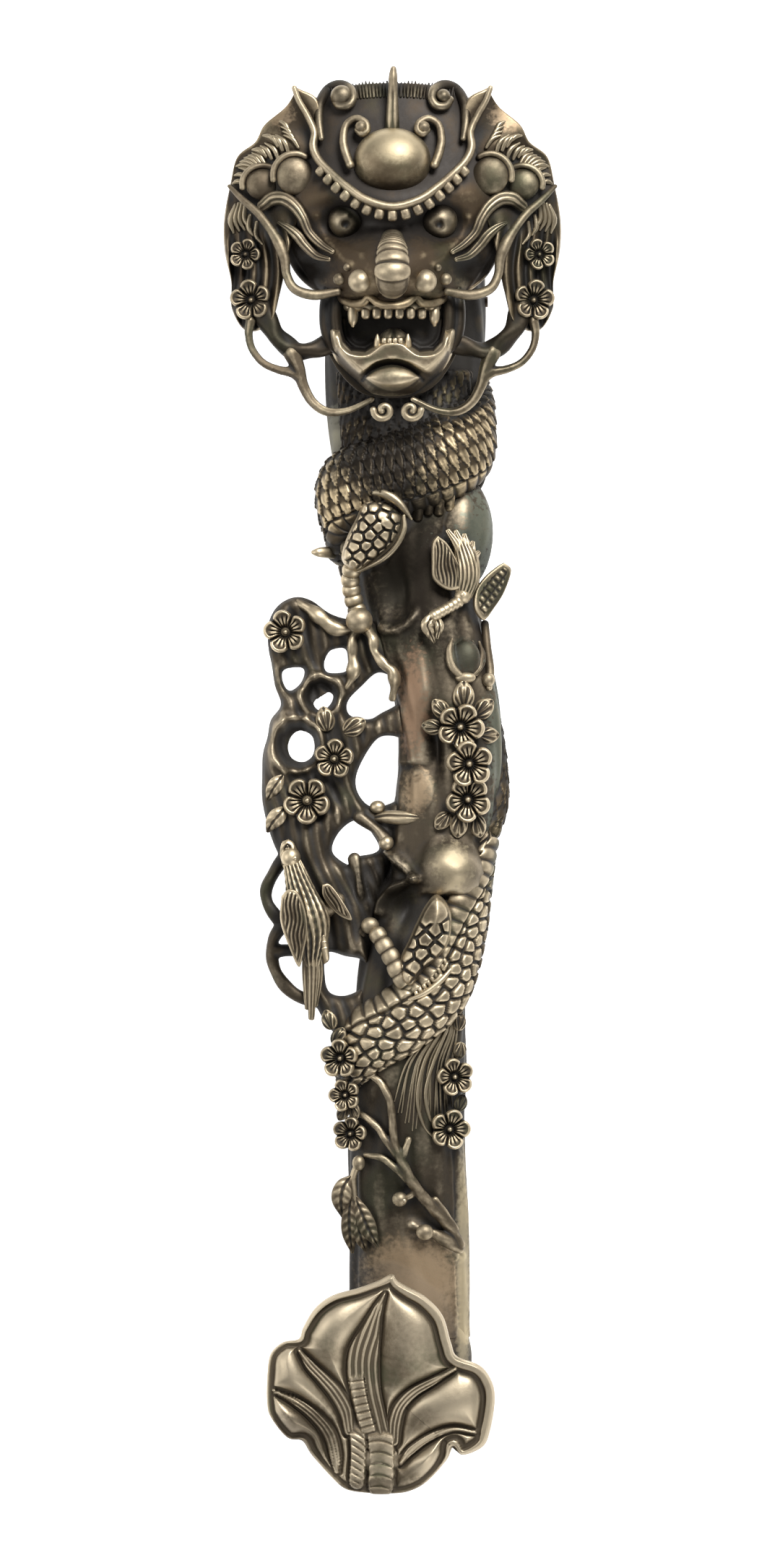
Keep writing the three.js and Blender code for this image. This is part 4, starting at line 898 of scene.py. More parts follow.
bridge = on_face(
    [(0, -11.6), (0, -15), (0, -19), (0, -23), (0, -26), (0, -28.2)], [-3.2, -1.2, 0.6, 1.2, 1.2, 0.4],
    [2.8, 3.8, 4.5, 5, 5, 4.3],
)
nose = [tube(bridge, sides=56, flat=0.72, spacing=0.25, relief=wrinkles)]
for side in (-1, 1):
    for u, v, radius, lift in ((9.5, -25.4, 3.5, 1.4), (15.6, -24.4, 1.8, 0.8), (13.2, -21.2, 1.2, 0.6)):
        nose.append(pebble(in_head(u * side, v, face(u, v) + lift), (radius, radius, radius)))
casting("nose", nose, worn_bronze, "worn_bronze", "nose", tone_shift=-0.24)


def pupil(x, y):
    return -1.1 * peak(np.hypot(x, y + 1.4), 1.1)


for word, side, radius in (("left", -1, 5), ("right", 1, 5.3)):
    eye_height = float(face(14.2, -7)) - 1.6
    ball = pebble(in_head(13.8 * side, -7, eye_height), (radius,) * 3, sides=64, rows=48, relief=pupil)
    casting(f"eye_{word}", [ball], dark_bronze, "dark_bronze", f"eye_{word}", tone_shift=-0.05)


# Brow and crown: a V-shaped crest with a row of rounded beads under it, a polished pearl in its fork, a spike
# above the pearl and two pairs of cloud curls. Each is a separate casting brazed to the mask.

CREST = mirrored([
    (-28.8, 32), (-27.4, 28.2), (-24.8, 23.6), (-22.9, 19), (-23.2, 14.6), (-21.6, 10.6), (-17.8, 6.4),
    (-13.4, 2.4), (-7.6, -1.6), (0, -3.6),
])


def mane_height(u):
    return 9 - 8 * smooth(26, 52, np.abs(u))


crest_ends = [min(k, len(CREST) - 1 - k, 4) for k in range(len(CREST))]
crest_radii = [0.8 + 0.45 * from_end / 4 for from_end in crest_ends]
crest_path = on_face(CREST, 2.8, crest_radii)
crest_path[:, 2] = np.maximum(crest_path[:, 2], HEAD_Z + mane_height(crest_path[:, 0]) + 1.6)
crest = [tube(crest_path, sides=22, flat=1.4, spacing=0.4)]
BEAD_PATH = mirrored([(-20.8, 7.4), (-17.2, 3.2), (-13.4, -0.4), (-9.8, -3), (-5.8, -5), (-2, -6)])
beads, _ = track(on_face(BEAD_PATH, 2.2, 1), 3.75)
for x, y, z, _ in beads:
    slant = 46 * math.tanh(x / 12)
    crest.append(pebble((x, y, z), (1.45, 1.8, 1.9), power=0.6, sides=28, rows=14, turn=slant))
casting("crest", crest, worn_bronze, "worn_bronze", "brow_crest", tone_shift=-0.2)


def pearl_top(u, v):
    return 9.2 * mound(u, v, 11.3, 10.1) ** 0.95


pearl_edge = square_oval(11, 9.6, 9.8, 2.1, 150)
pearl_z = HEAD_Z + float(face(0, 10.5)) - 1.8
pearl_dome = plate(pearl_edge, pearl_top, level_at(-3), rings=46, bulge=0.3)
pearl = moved(pearl_dome, 0, HEAD_Y + 10.2, pearl_z)
PEARL_PAINTED_SHADE = (66, 56, 45)
pearl_bronze = bronze(
    "pearl_bronze",
    grime_and_shade=(36, 31, 25),
    body=(98, 86, 68),
    worn=(182, 167, 138),
    gloss=0.42,
    stains_and_painted_light=[
        # A painted highlight on the pearl's top and painted shade along its bottom.
        (PAINTED_HIGHLIGHT, (1, HEAD_Y + 14.4, 60), (9, 6.4, 40), 0.6, 0.3),
        (PEARL_PAINTED_SHADE, (0, HEAD_Y - 0.6, 60), (13, 6.4, 40), 0.75, 0.2),
    ],
)
casting("pearl", [pearl], pearl_bronze, "worn_bronze", "forehead_pearl", tone_shift=-0.12)

spike_tip = float(face(0, 27)) + 4
spike = [
    (*in_head(0, 19, face(0, 19) - 0.5), 2.2),
    (*in_head(0, 24, face(0, 24) + 1.8), 1.9),
    (*in_head(0.1, 30, face(0, 27) + 3.6), 1.5),
    (*in_head(0.2, 35, spike_tip), 1.3),
    (*in_head(0.3, 37.2, spike_tip), 0.9),
]
spike_skin = tube(
    spike, sides=28, flat=1.5, spacing=0.4,
    relief=lambda length, angle: -0.6 * peak(angle - np.pi / 2, 0.35) * smooth(14, 10, length),
)
casting("spike", [spike_skin], worn_bronze, "worn_bronze", "crown_spike", tone_shift=-0.22)

# Each row of a curl is u, v and radius.
INNER_CURL = [
    (12.4, 9, 1.3), (13.8, 13, 1.3), (14.4, 16.6, 1.2), (13.6, 20.8, 1.1), (10.8, 22.8, 1.1), (8, 21.6, 1.1),
    (7.4, 19.4, 1.1), (8.8, 18.2, 1.1), (10, 19.4, 1.2),
]
OUTER_CURL = [
    (20.8, 17, 0.9), (21.6, 22.5, 1.3), (21.2, 28, 1.5), (18.8, 32.2, 1.6), (15.4, 33.4, 1.5),
    (12.4, 31.8, 1.4), (11.6, 29, 1.3), (13, 26.8, 1.3), (15.6, 26.8, 1.3), (16.8, 28.6, 1.3),
]
for word, side, knob_size in (("left", -1, 3.3), ("right", 1, 2.2)):
    inner = on_face([(u * side, v) for u, v, _ in INNER_CURL], 2.2, [radius for _, _, radius in INNER_CURL])
    outer = on_face([(u * side, v) for u, v, _ in OUTER_CURL], 2.4, [radius for _, _, radius in OUTER_CURL])
    knob = pebble(in_head(9.2 * side, 20.2, face(9.2, 20.2) + 2.6), (1.8, 1.8, 1.8), sides=24, rows=14)
    outer_size = (knob_size, knob_size, 2.4)
    outer_knob = pebble(in_head(14.9 * side, 29.6, face(14.9, 29) + 2.4), outer_size, sides=32, rows=18)
    inner_parts = [tube(inner, spacing=0.4), knob]
    casting(f"inner_curl_{word}", inner_parts, worn_bronze, "worn_bronze", f"inner_curl_{word}", tone_shift=-0.28)
    outer_parts = [tube(outer, spacing=0.4), outer_knob]
    casting(f"outer_curl_{word}", outer_parts, dark_bronze, "worn_bronze", f"outer_curl_{word}", tone_shift=-0.2)


# Mane and cheeks: a plate each side of the face with locks of hair laid over its upper part, and two low
# cloud domes, two curled ear fins and a long whisker brazed over it.

SIDES = (("left", -1), ("right", 1))
MANE_MIDDLE = (39, -4)
MANE_EDGE = [
    (28, 32), (31.4, 26.6), (37.6, 21.4), (40.4, 16.4), (45.6, 12.2), (47.6, 4), (49.3, -6), (49.2, -15),
    (47.4, -24), (47.2, -32), (43, -38.4), (36, -36.5), (33, -27), (30, -13), (25, 2), (22, 17), (22, 28),
    (28, 32),
]


def mane_top(u, v):
    reach = np.hypot(u - 23, v - 5)
    turn = np.arctan2(v - 5, u - 23)
    waves = 0.7 * np.sin(7 * turn + 0.12 * reach) * smooth(8, 16, reach)
    folds = 0.8 * np.sin(1.7 * u + 1.2 * np.sin(0.22 * v)) * smooth(-6, -14, v)
    dish = -1.3 * smooth(4, 1.2, 50 - u + 0.1 * np.abs(v))
    dish = dish + 0.9 * peak(u - 48.4, 1.0) * smooth(2, -6, v)
    return mane_height(u) + waves + folds + dish


mane_loop = spline(MANE_EDGE, 261)[:-1] - np.array(MANE_MIDDLE, float)
# Each tier is a path of roots, a path of tips and a number of locks.
HAIR_TIERS = [
    ([(27.6, 14.6), (29, 17), (30.4, 19.4)], [(32, 18.4), (32.8, 20.4), (33.2, 22.6)], 4),
    ([(30.4, 12.8), (33, 14.4), (34.6, 16.6)], [(34.4, 18.6), (36.4, 18.6), (38.2, 18.4)], 4),
    ([(33.4, 11), (36.4, 11.8), (38.2, 13)], [(37.6, 16.4), (39.8, 15.4), (41.4, 14.4)], 4),
    ([(37.6, 10.2), (40, 10.2), (41.6, 9.4)], [(41.4, 13.6), (44, 12.2), (46, 9.6)], 5),
    ([(41.6, 6.8), (43, 6.2), (43.8, 4.8)], [(45.4, 9.4), (46.8, 7), (47.4, 4.4)], 3),
    ([(43.4, -1.6), (44.8, -1.4), (46.2, -2)], [(41.6, -9.6), (44.2, -10.4), (46.8, -10.6)], 4),
    ([(40, -7), (41, -6), (42, -5)], [(38.2, -14), (39.6, -13), (41, -11.6)], 2),
]
# Each row of the whisker is u, v, height and radius.
CHEEK_WHISKER = [
    (48, 3.6, 4, 0.6), (44, -0.6, 7, 1.0), (39.4, -4.8, 9.4, 1.2), (35.8, -9.6, 11, 1.3),
    (33.2, -14, 12, 1.7), (31.6, -18.4, 12.4, 1.5), (31, -23, 12.8, 1.3), (28.6, -27.2, 13.6, 1.4),
    (23, -29, 14, 1.5), (16.2, -28, 13.5, 1.2),
]
# Each row of a fin is u, v and radius.
CHEEK_FINS = [
    [(38.2, -2.4, 1.7), (35.4, -0.4, 2.1), (32, -0.4, 2.1), (28.8, -2.6, 1.9), (26.4, -6, 1.6),
     (24.4, -10.4, 1.4), (21, -14, 1.2), (17.6, -16.4, 0.8)],
    [(33.4, -7.4, 0.5), (30.6, -9, 1.2), (28, -11.2, 1.6), (25.6, -14.2, 1.5), (22.4, -17.2, 1.2),
     (18.6, -18.6, 0.7)],
]
# Each cloud's u and v, half sizes, lift, and the turns in degrees that its rim runs between.
CLOUDS = [(38.2, 4, (5, 4.6, 2.8), 0.2, (10, 190)), (28.7, 6.2, (5.4, 5.6, 2.6), 1, (60, 190))]


def fin_groove(length, angle):
    return -0.4 * peak(angle - 1.2, 0.2) - 0.25 * peak(angle - 2.1, 0.16)


mane_bronze = bronze(
    "mane_bronze",
    grime_and_shade=(24, 21, 17),
    body=(64, 55, 44),
    worn=(150, 135, 110),
    gloss=0.42,
    stains_and_painted_light=[
        # Painted highlights on the mane's upper corners, brighter on the right.
        (TAN, (35, HEAD_Y + 24.4, HEAD_Z + 8), (6, 5.4, 40), 0.8, 0.6),
        (TAN, (-33, HEAD_Y + 25.6, HEAD_Z + 8), (5, 5, 40), 0.55, 0.8),
    ],
)
for word, side in SIDES:

    def hair_top(x, y):
        return mane_top(side * x + MANE_MIDDLE[0], y + MANE_MIDDLE[1])

    def hair_back(x, y):
        return mane_height(side * x + MANE_MIDDLE[0]) - 4.2

    mane = plate(mane_loop * np.array([side, 1]), hair_top, hair_back)
    mane = moved(mane, MANE_MIDDLE[0] * side, HEAD_Y + MANE_MIDDLE[1], HEAD_Z)
    locks = []
    for tier, (roots, tips, count) in enumerate(HAIR_TIERS):
        lift = 0.8 - 0.06 * tier

        def tier_height(u, v):
            return mane_top(np.abs(u), v) + lift

        paths = [[(u * side, v) for u, v in path] for path in (roots, tips)]
        locks += combed(*paths, tier_height, count, 0.82, 0.14 * side)
    casting(f"mane_{word}", [mane], mane_bronze, "dark_bronze", f"mane_plate_{word}")
    casting(f"mane_hair_{word}", locks, dark_bronze, "dark_bronze", f"mane_plate_{word}", tone_shift=0.05)

    clouds = []
    for u, v, size, lift, sweep in CLOUDS:
        height = float(mane_height(u)) + lift
        clouds.append(pebble(in_head(u * side, v, height), size, sides=48, rows=24))
        rim = []
        for turn in np.radians(np.linspace(*sweep, 14)):
            rim_u = u - (size[0] + 1) * math.cos(turn)
            rim_v = v + (size[1] + 1) * math.sin(turn)
            rim.append((*in_head(rim_u * side, rim_v, height + 0.4), 0.9))
        clouds.append(tube(rim, sides=16, spacing=0.5))
    casting(f"cloud_{word}", clouds, worn_bronze, "worn_bronze", f"cheek_cloud_{word}", tone_shift=-0.24)

    whisker = [(*in_head(u * side, v, height), radius) for u, v, height, radius in CHEEK_WHISKER]
    whisker_skin = tube(whisker, sides=20, spacing=0.5)
    node = f"cheek_whisker_{word}"
    casting(f"whisker_{word}", [whisker_skin], worn_bronze, "worn_bronze", node, tone_shift=-0.26)

    fins = []
    for fin in CHEEK_FINS:
        u, v, radii = np.array(fin, float).T
        height = np.maximum(face(u, v), mane_height(u)) + 1.2
        stations = np.column_stack([in_head(u * side, v, height), radii])
        fins.append(tube(stations, sides=36, flat=0.9, spacing=0.4, relief=fin_groove))
    casting(f"fin_{word}", fins, worn_bronze, "worn_bronze", f"cheek_fin_{word}", tone_shift=-0.22)


# Beard: a dark arm ties each side of the mane to the jaw, with thin open loops of cast bar round it, and two
# small open curls hang under the chin.

# Each row of the beard is u, v and radius.
BEARD_ARM = [
    (38, -32, 3), (36.4, -37, 3), (33.4, -41.4, 2.8), (28.6, -44.8, 2.7), (23.4, -44.4, 2.6),
    (18, -42.6, 2.8),
]
BEARD_LOOPS = [
    [(41.6, -36, 1.5), (42.2, -40, 1.2), (41.2, -44.4, 1.1), (38, -48.4, 1.1), (33.6, -50.4, 1.2),
     (29.6, -51.2, 1.5), (27, -52.6, 1.8)],
    [(29.5, -45.5, 2.6), (27.6, -50, 2.0), (26.2, -55, 1.6), (23.4, -60, 1.4), (19, -62.8, 1.3),
     (13, -62.4, 1.0), (6, -59.2, 0.8)],
]


def knotted(length, angle):
    return 0.3 * np.sin(0.55 * length + 2 * angle) + 0.2 * np.cos(3 * angle - 0.3 * length)


def pleats(length, angle):
    return 0.16 * np.cos(5 * angle)


for word, side in SIDES:
    arm = [(*in_head(u * side, v, 4.4), radius) for u, v, radius in BEARD_ARM]
    arm_skin = tube(arm, sides=32, spacing=0.5, relief=knotted)
    casting(f"beard_arm_{word}", [arm_skin], dark_bronze, "worn_bronze", f"beard_loop_{word}", tone_shift=-0.35)
    loops = []
    for loop in BEARD_LOOPS:
        stations = [(*in_head(u * side, v, 5), radius) for u, v, radius in loop]
        loops.append(tube(stations, sides=24, spacing=0.5, relief=pleats))
    casting(f"beard_{word}", loops, worn_bronze, "worn_bronze", f"beard_loop_{word}", weld=0.32, tone_shift=-0.28)

curls = []
for middle, side in ((-2.6, -1), (5.4, 1)):
    spiral = []
    for turn in np.linspace(0.6, 2.3 * np.pi, 14):
        radius = 0.4 + 0.36 * turn
        u = middle + side * radius * math.cos(turn - 0.9)
        spiral.append((*in_head(u, -62.6 + radius * math.sin(turn - 0.9), 9), 1.0))
    curls.append(tube(spiral, sides=20, spacing=0.35))
casting("chin_curls", curls, worn_bronze, "worn_bronze", "chin_curls", tone_shift=-0.24)


# Plum blossoms: five cupped petals with raised rims and incised lines, round a bead in a pit. One is
# modelled, and copies of it are brazed on the mane, the branch and the trunk. Loose petals stand by some.

PETALS = 5
PETAL_OUT = 0.56
PETAL_RADIUS = 0.46
# A seat on the trunk stays within this share of its half width, and leans this share of the way forward.
SEAT_EDGE = 0.82
SEAT_LEAN = 0.6


def plum_blossom(sectors=160, rings=34):
    """A blossom of radius 1 on a short stalk, with a petal towards +Y."""
    angle = np.linspace(0, 2 * np.pi, sectors, endpoint=False)
    fold = np.mod(angle - np.pi / 2 + np.pi / PETALS, 2 * np.pi / PETALS) - np.pi / PETALS
    reach = PETAL_OUT * np.cos(fold) + np.sqrt(PETAL_RADIUS**2 - (PETAL_OUT * np.sin(fold)) ** 2)
    share = np.linspace(0.02, 1, rings)[:, None]
    out = share * reach
    from_petal = np.hypot(out * np.cos(fold) - PETAL_OUT, out * np.sin(fold)) / PETAL_RADIUS
    cup = 0.16 * out**2 + 0.12 * (1 - from_petal**6) * smooth(0.14, 0.4, out)
    rim = 0.1 * peak(0.8 - from_petal, 0.2) * smooth(0.34, 0.6, out)
    gap = -0.26 * peak(out * np.sin(np.pi / PETALS - np.abs(fold)), 0.06) * smooth(0.22, 0.5, out)
    spokes = np.clip(np.cos(20 * angle) - 0.2, 0, 1)
    lines = -0.24 * spokes * smooth(0.16, 0.26, out) * smooth(0.82, 0.5, out)
    pit = -0.16 * smooth(0.44, 0.22, out)
    bead = 0.3 * np.sqrt(np.clip(1 - (out / 0.17) ** 2, 0, 1))
    top = cup + rim + gap + lines + pit + bead
    x, y = out * np.cos(angle), out * np.sin(angle)
    share = np.linspace(0.02, 1, 10)[:, None]
    depth = 0.24 * share**2 - 0.2 - 0.4 * (1 - share) + 0 * angle
    stalk = np.dstack([share * reach * np.cos(angle), share * reach * np.sin(angle), depth])
    return skin(np.concatenate([stalk, np.dstack([x, y, top])[::-1]]))


def loose_petal():
    """A single pointed petal of half length 1 with its tip towards +Y, fluted from its root."""
    edge = square_oval(0.82, 1.0, 0.95, 2.1, 70)
    edge[:, 1] += 0.22 * smooth(0.5, 1, edge[:, 1]) * (1 - np.abs(edge[:, 0]) / 0.82)

    def top(x, y):
        away = np.hypot(x / 0.82, np.minimum(y, 1))
        fan = np.arctan2(x, y + 1.25)
        flutes = 0.09 * np.cos(17 * fan) * smooth(0.95, 0.7, away)
        return 0.3 * (1 - away**3) + 0.1 * (y + 1) + flutes - 0.1 * peak(x, 0.07)

    return plate(edge, top, lambda x, y: 0.1 * (y + 1) - 0.3, rings=22, bulge=0.03)


BLOSSOM = plum_blossom()
PETAL = loose_petal()


def placed(shell, matrix):
    turn = np.array(matrix.to_3x3())
    return shell[0] @ turn.T + np.array(matrix.translation), shell[1]


def set_at(place, size, turn=0.0, tip=(0.0, 0.0)):
    """A frame at place, scaled by size, turned in the XY plane and tipped about X and Y, in degrees."""
    if not isinstance(place, Matrix):
        place = Matrix.Translation(Vector([float(axis) for axis in place]))
    tilt = Matrix.Rotation(math.radians(tip[0]), 4, "X") @ Matrix.Rotation(math.radians(tip[1]), 4, "Y")
    return place @ tilt @ Matrix.Rotation(math.radians(turn), 4, "Z") @ Matrix.Scale(size, 4)


def trunk_seat(x, y, lift):
    """A frame on the trunk whose Z axis leaves its surface and leans to the front."""
    share = float((x - trunk_centre_x(y)) / (trunk_half_width(y) + lift))
    turn = math.degrees(math.asin(max(-SEAT_EDGE, min(SEAT_EDGE, share))))
    normal = Vector(trunk_normal(float(y), np.float64(turn))).lerp(Vector((0, 0, 1)), SEAT_LEAN).normalized()
    turned = Vector((0, 0, 1)).rotation_difference(normal).to_matrix().to_4x4()
    height = float(trunk_round(float(y), turn, lift)[2])
    return Matrix.Translation((x, y, height)) @ turned


for word, side in SIDES:
    for level, u, v, radius, turn in (("upper", 43.3, -16.5, 4.6, 20), ("lower", 41.6, -30, 6, -8)):
        place = set_at(in_head(u * side, v, mane_height(u) + 2), radius, turn * side, (0, 10 * side))
        name = f"mane_blossom_{level}_{word}"
        casting(name, [placed(BLOSSOM, place)], worn_bronze, "worn_bronze", name, tone_shift=-0.26)

# Each row is a name, x, y, radius, lift and turn.
TRUNK_BLOSSOMS = [
    ("trunk_blossom_middle", 22.7, 5.5, 6.9, 4.4, 10),
    ("trunk_blossom_upper", 20.1, 16.4, 7, 2.6, -24),
    ("trunk_blossom_lower", 22.3, -5, 6.7, 2.4, 30),
    ("left_blossom_upper", -15.5, -81.5, 5.8, 7.4, 0),
    ("left_blossom_middle", -14, -92.4, 4.8, 6.4, 18),
    ("left_blossom_lower", -12.5, -104, 5.2, 2.6, -10),
    ("right_blossom_upper", 18.5, -87, 5.6, 3, 14),
    ("right_blossom_lower", 17, -102.5, 6, 2.6, -16),
]
# Each petal beside a blossom is x, y, half length, lift and turn.
TRUNK_PETALS = {
    "trunk_blossom_upper": [
        (21, 25.4, 3.8, 1.4, 0), (26.6, 21.6, 3.4, 0.6, -48), (14.4, 21.6, 3, 0.8, 40),
        (12, 16.4, 2.8, 0.4, 80), (28, 14, 3, 0, -90),
    ],
    "trunk_blossom_lower": [
        (15, -11, 2.8, 0.8, 140), (19.6, -12.4, 3.2, 0.8, 172), (25, -12.4, 3.2, 0.4, 195),
    ],
    "left_blossom_upper": [(-18.6, -70.4, 2.8, 3, 20), (-16, -75.4, 2.8, 4, -30)],
    "right_blossom_upper": [(19.8, -71, 2.4, 2.4, -10), (20, -79, 2.4, 2.2, 170)],
    "left_blossom_middle": [(-11.4, -97, 2.2, 3, 200), (-14.6, -97.6, 2.2, 3, 150)],
    "right_blossom_lower": [(20.2, -95, 2.4, 2, -20)],
}
for name, x, y, radius, lift, turn in TRUNK_BLOSSOMS:
    shells = [placed(BLOSSOM, set_at(trunk_seat(x, y, lift), radius, turn))]
    for petal_x, petal_y, size, petal_lift, petal_turn in TRUNK_PETALS.get(name, []):
        shells.append(placed(PETAL, set_at(trunk_seat(petal_x, petal_y, petal_lift), size, petal_turn)))
    casting(name, shells, worn_bronze, "worn_bronze", name, tone_shift=-0.15)


# Branch lattice: an openwork plum branch on the trunk's left, cast as one thick pierced slab with rounded
# rims and thin twig loops, and brazed on. It bears three blossoms, loose petals, leaves and buds.

LATTICE_Z = float(trunk_centre_z(TRUNK_WAIST)) + 1.5
LATTICE_EDGE = [
    (-14, 48.6), (-19, 50.4), (-24, 54), (-29, 55), (-34, 52.4), (-36.8, 47), (-36.8, 40), (-35.8, 35),
    (-34.8, 28.6), (-33, 23), (-36, 18.6), (-37, 13.5), (-38.4, 8.4), (-38.6, 2), (-38.6, -5), (-37, -12.7),
    (-34.6, -19.5), (-32, -24), (-29.4, -28), (-26.6, -34), (-25.4, -42), (-25.4, -52), (-24, -62),
    (-20.5, -70), (-15, -76), (-8.5, -76), (-8, -63), (-6, -47), (-2.5, -30), (1, -20), (3, -10), (5, 0),
    (5, 12), (4, 22), (2, 30), (-1.5, 40), (-5, 47), (-9, 48.6),
]
LATTICE_HOLES = [
    [(-17.6, 39.4), (-14, 39.6), (-13.2, 36), (-13.8, 33), (-19, 32.6), (-20.2, 35), (-19.2, 38)],
    [(-32, 33.4), (-26.4, 33.8), (-27, 29.8), (-30.4, 27.2), (-32.4, 30)],
    [(-23.2, 23.6), (-19.2, 26.4), (-17.6, 25.6), (-18.6, 23), (-21.2, 21.2)],
    [(-4, 32.6), (1.6, 29.6), (2, 24), (-3.4, 20.6), (-7, 18.8), (-12.6, 20), (-13.2, 24), (-9, 28.6)],
    [(-26.6, 15.2), (-23.6, 13.4), (-23.4, 8.6), (-26.2, 6.2), (-29.8, 7.4), (-30.8, 11), (-29.2, 14.4)],
    [(-2.6, 13.8), (3.4, 12), (4.4, 2), (2, -4.6), (-5.6, -7.2), (-10, -3.4), (-10.6, 2.4), (-6.6, 10.4)],
    [(-11, -11.2), (-8, -12.6), (-4, -18.6), (-5.4, -20.8), (-11, -22), (-12.6, -24.4), (-17.2, -21.4),
     (-17.6, -18.2), (-15, -13.8)],
    [(-19.4, -50.4), (-14, -51.4), (-8.6, -53), (-8.8, -60), (-13.8, -63), (-18.6, -62), (-20, -57)],
]
LATTICE_CUPS = [(-21.2, 26, 5.3), (-28.6, 11.2, 7.2)]
LATTICE_ROUND = 3.2
LEFT_LIMB = [(-33, 20), (-34, 6), (-31, -7), (-26, -17), (-19.5, -29), (-13, -42), (-11, -48)]
RIGHT_LIMB = [(-12, 16), (-13, 6), (-14, -5), (-20, -12)]


def pierced(outline, holes, top, back, step):
    """A slab with holes. top and back give its faces from x, y and the distance to the nearest rim."""
    outline = np.asarray(outline)
    low, high = outline.min(axis=0) - step, outline.max(axis=0) + step
    x, y = np.meshgrid(np.arange(low[0], high[0], step), np.arange(low[1], high[1], step), indexing="ij")
    inner = edge_distance(x, y, outline)
    for hole in holes:
        inner = np.minimum(inner, -edge_distance(x, y, hole))
    kept = inner > 0
    kept = kept[:-1, :-1] & kept[1:, :-1] & kept[1:, 1:] & kept[:-1, 1:]
    slope_x, slope_y = np.gradient(inner, step)
    padded = np.pad(kept, 1)
    corners = [padded[:-1, :-1], padded[1:, :-1], padded[:-1, 1:], padded[1:, 1:]]
    used = np.any(corners, axis=0)
    on_rim = used & ~np.all(corners, axis=0)
    x, y = np.where(on_rim, x - inner * slope_x, x), np.where(on_rim, y - inner * slope_y, y)
    inner = np.where(on_rim, 0.02, inner)
    number = np.full(x.shape, -1)
    number[used] = np.arange(used.sum())
    count = int(used.sum())
    quads = np.stack([number[:-1, :-1], number[1:, :-1], number[1:, 1:], number[:-1, 1:]], axis=-1)[kept]
    faces = quads.tolist() + (quads[:, ::-1] + count).tolist()
    edges = {(a, b) for quad in quads.tolist() for a, b in zip(quad, quad[1:] + quad[:1])}
    faces += [[b, a, a + count, b + count] for a, b in edges if (b, a) not in edges]
    x, y, inner = x[used], y[used], inner[used]
    over = np.column_stack([x, y, top(x, y, inner)])
    under = np.column_stack([x, y, back(x, y, inner)])
    return np.vstack([over, under]), faces


def rounded(inner, radius):
    return radius * np.sqrt(np.clip(1 - (1 - np.clip(inner / radius, 0, 1)) ** 2, 0, 1))


def lattice_top(x, y, inner):
    limb = 2.6 * ridge(x, y, LEFT_LIMB, 4.2) + 1.6 * ridge(x, y, RIGHT_LIMB, 3.2)
    cups = 0
    for cup_x, cup_y, radius in LATTICE_CUPS:
        away = np.hypot(x - cup_x, y - cup_y)
        cups = cups - 4 * smooth(radius, 0.55 * radius, away) + 1.3 * peak(away - radius - 0.8, 1.1)
    grain = 0.3 * np.sin(1.9 * (0.95 * x + 0.3 * y) + 1.6 * np.sin(0.21 * y))
    grain = grain + 0.5 * np.sin(0.5 * x + 0.3 * np.sin(0.4 * y)) * np.sin(0.42 * y + 0.2 * x)
    lift = rounded(inner, LATTICE_ROUND)
    return LATTICE_Z + lift + (limb + cups + grain) * lift / LATTICE_ROUND


def lattice_back(x, y, inner):
    return LATTICE_Z - 0.8 * rounded(inner, LATTICE_ROUND)


# Each row of a bar or leaf on the branch is x, y, height over the slab's middle, and radius.
TWIG_LOOPS = [
    [(-31.6, -21.6, 0, 1.9), (-35, -26.6, 0, 1.9), (-37.4, -31.4, 0, 1.8), (-37, -35.6, 0, 1.8),
     (-34.4, -39.6, 0, 1.9), (-31.6, -42.4, 0, 2), (-27, -43.4, 0, 1.9)],
    [(-32.2, -42, 0, 2), (-35, -46, 0, 1.8), (-35.8, -50.6, 0, 1.8), (-34.8, -55.4, 0, 1.8),
     (-32, -59.8, 0, 1.9), (-28, -63, 0, 2), (-23, -64.6, 0, 1.9)],
    [(-35.4, -50, 0, 1.8), (-31, -49.6, 0, 1.8), (-25, -50.4, 0, 1.9)],
    [(-10, -10, 2, 1.9), (-6.5, -12.4, 3.2, 1.7), (-4, -14.6, 4, 1.7), (-1.8, -17.6, 5, 2.1)],
    [(-11.2, -22.6, 2, 2), (-10.2, -27, 3, 1.6), (-9.4, -32, 3.2, 1.4), (-8.4, -38.4, 2.4, 1.2)],
]
LATTICE_LEAVES = [
    [(-31.4, -7, 5.4, 0.6), (-33.4, -9.4, 6, 2.4), (-35.4, -11.8, 5.4, 2.2), (-37, -14.6, 4, 0.4)],
    [(-32.2, 2.4, 5.4, 0.6), (-34, 0, 5.8, 2.1), (-35.6, -2.4, 5, 1.9), (-37, -5.2, 3.6, 0.4)],
]
POINTED_BUD = [(-6.4, -10.8, 2, 0.8), (-1.6, -10.2, 4, 1.9), (3.6, -10.4, 6, 2), (9.2, -10.4, 7.4, 0.4)]


def over_lattice(stations):
    return [(x, y, LATTICE_Z + rise, radius) for x, y, rise, radius in stations]


def knots(length, angle):
    return 0.12 * np.sin(0.7 * length + 1.4 * np.sin(angle)) + 0.12 * np.cos(3 * angle + 0.25 * length)


slab_edge = closed_spline(LATTICE_EDGE, 4)
slab_holes = [closed_spline(hole, 5) for hole in LATTICE_HOLES]
lattice = [pierced(slab_edge, slab_holes, lattice_top, lattice_back, 0.5)]
lattice += [tube(over_lattice(bar), sides=24, spacing=0.8, relief=knots) for bar in TWIG_LOOPS]
casting("lattice", lattice, brown_bronze, "worn_bronze", "branch_lattice", weld=0.4, tone_shift=-0.17)


def leaf(stations, flat=0.34):
    """A leaf along stations of x, y, z and half width, grooved along the middle and veined to each side."""

    def veins(length, angle):
        from_middle = angle - np.pi / 2
        side_veins = 0.11 * np.cos(2.6 * length - 3 * np.abs(from_middle)) * np.clip(np.sin(angle), 0, 1)
        return side_veins - 0.5 * peak(from_middle, 0.16)

    return tube(stations, sides=48, flat=flat, spacing=0.35, relief=veins)


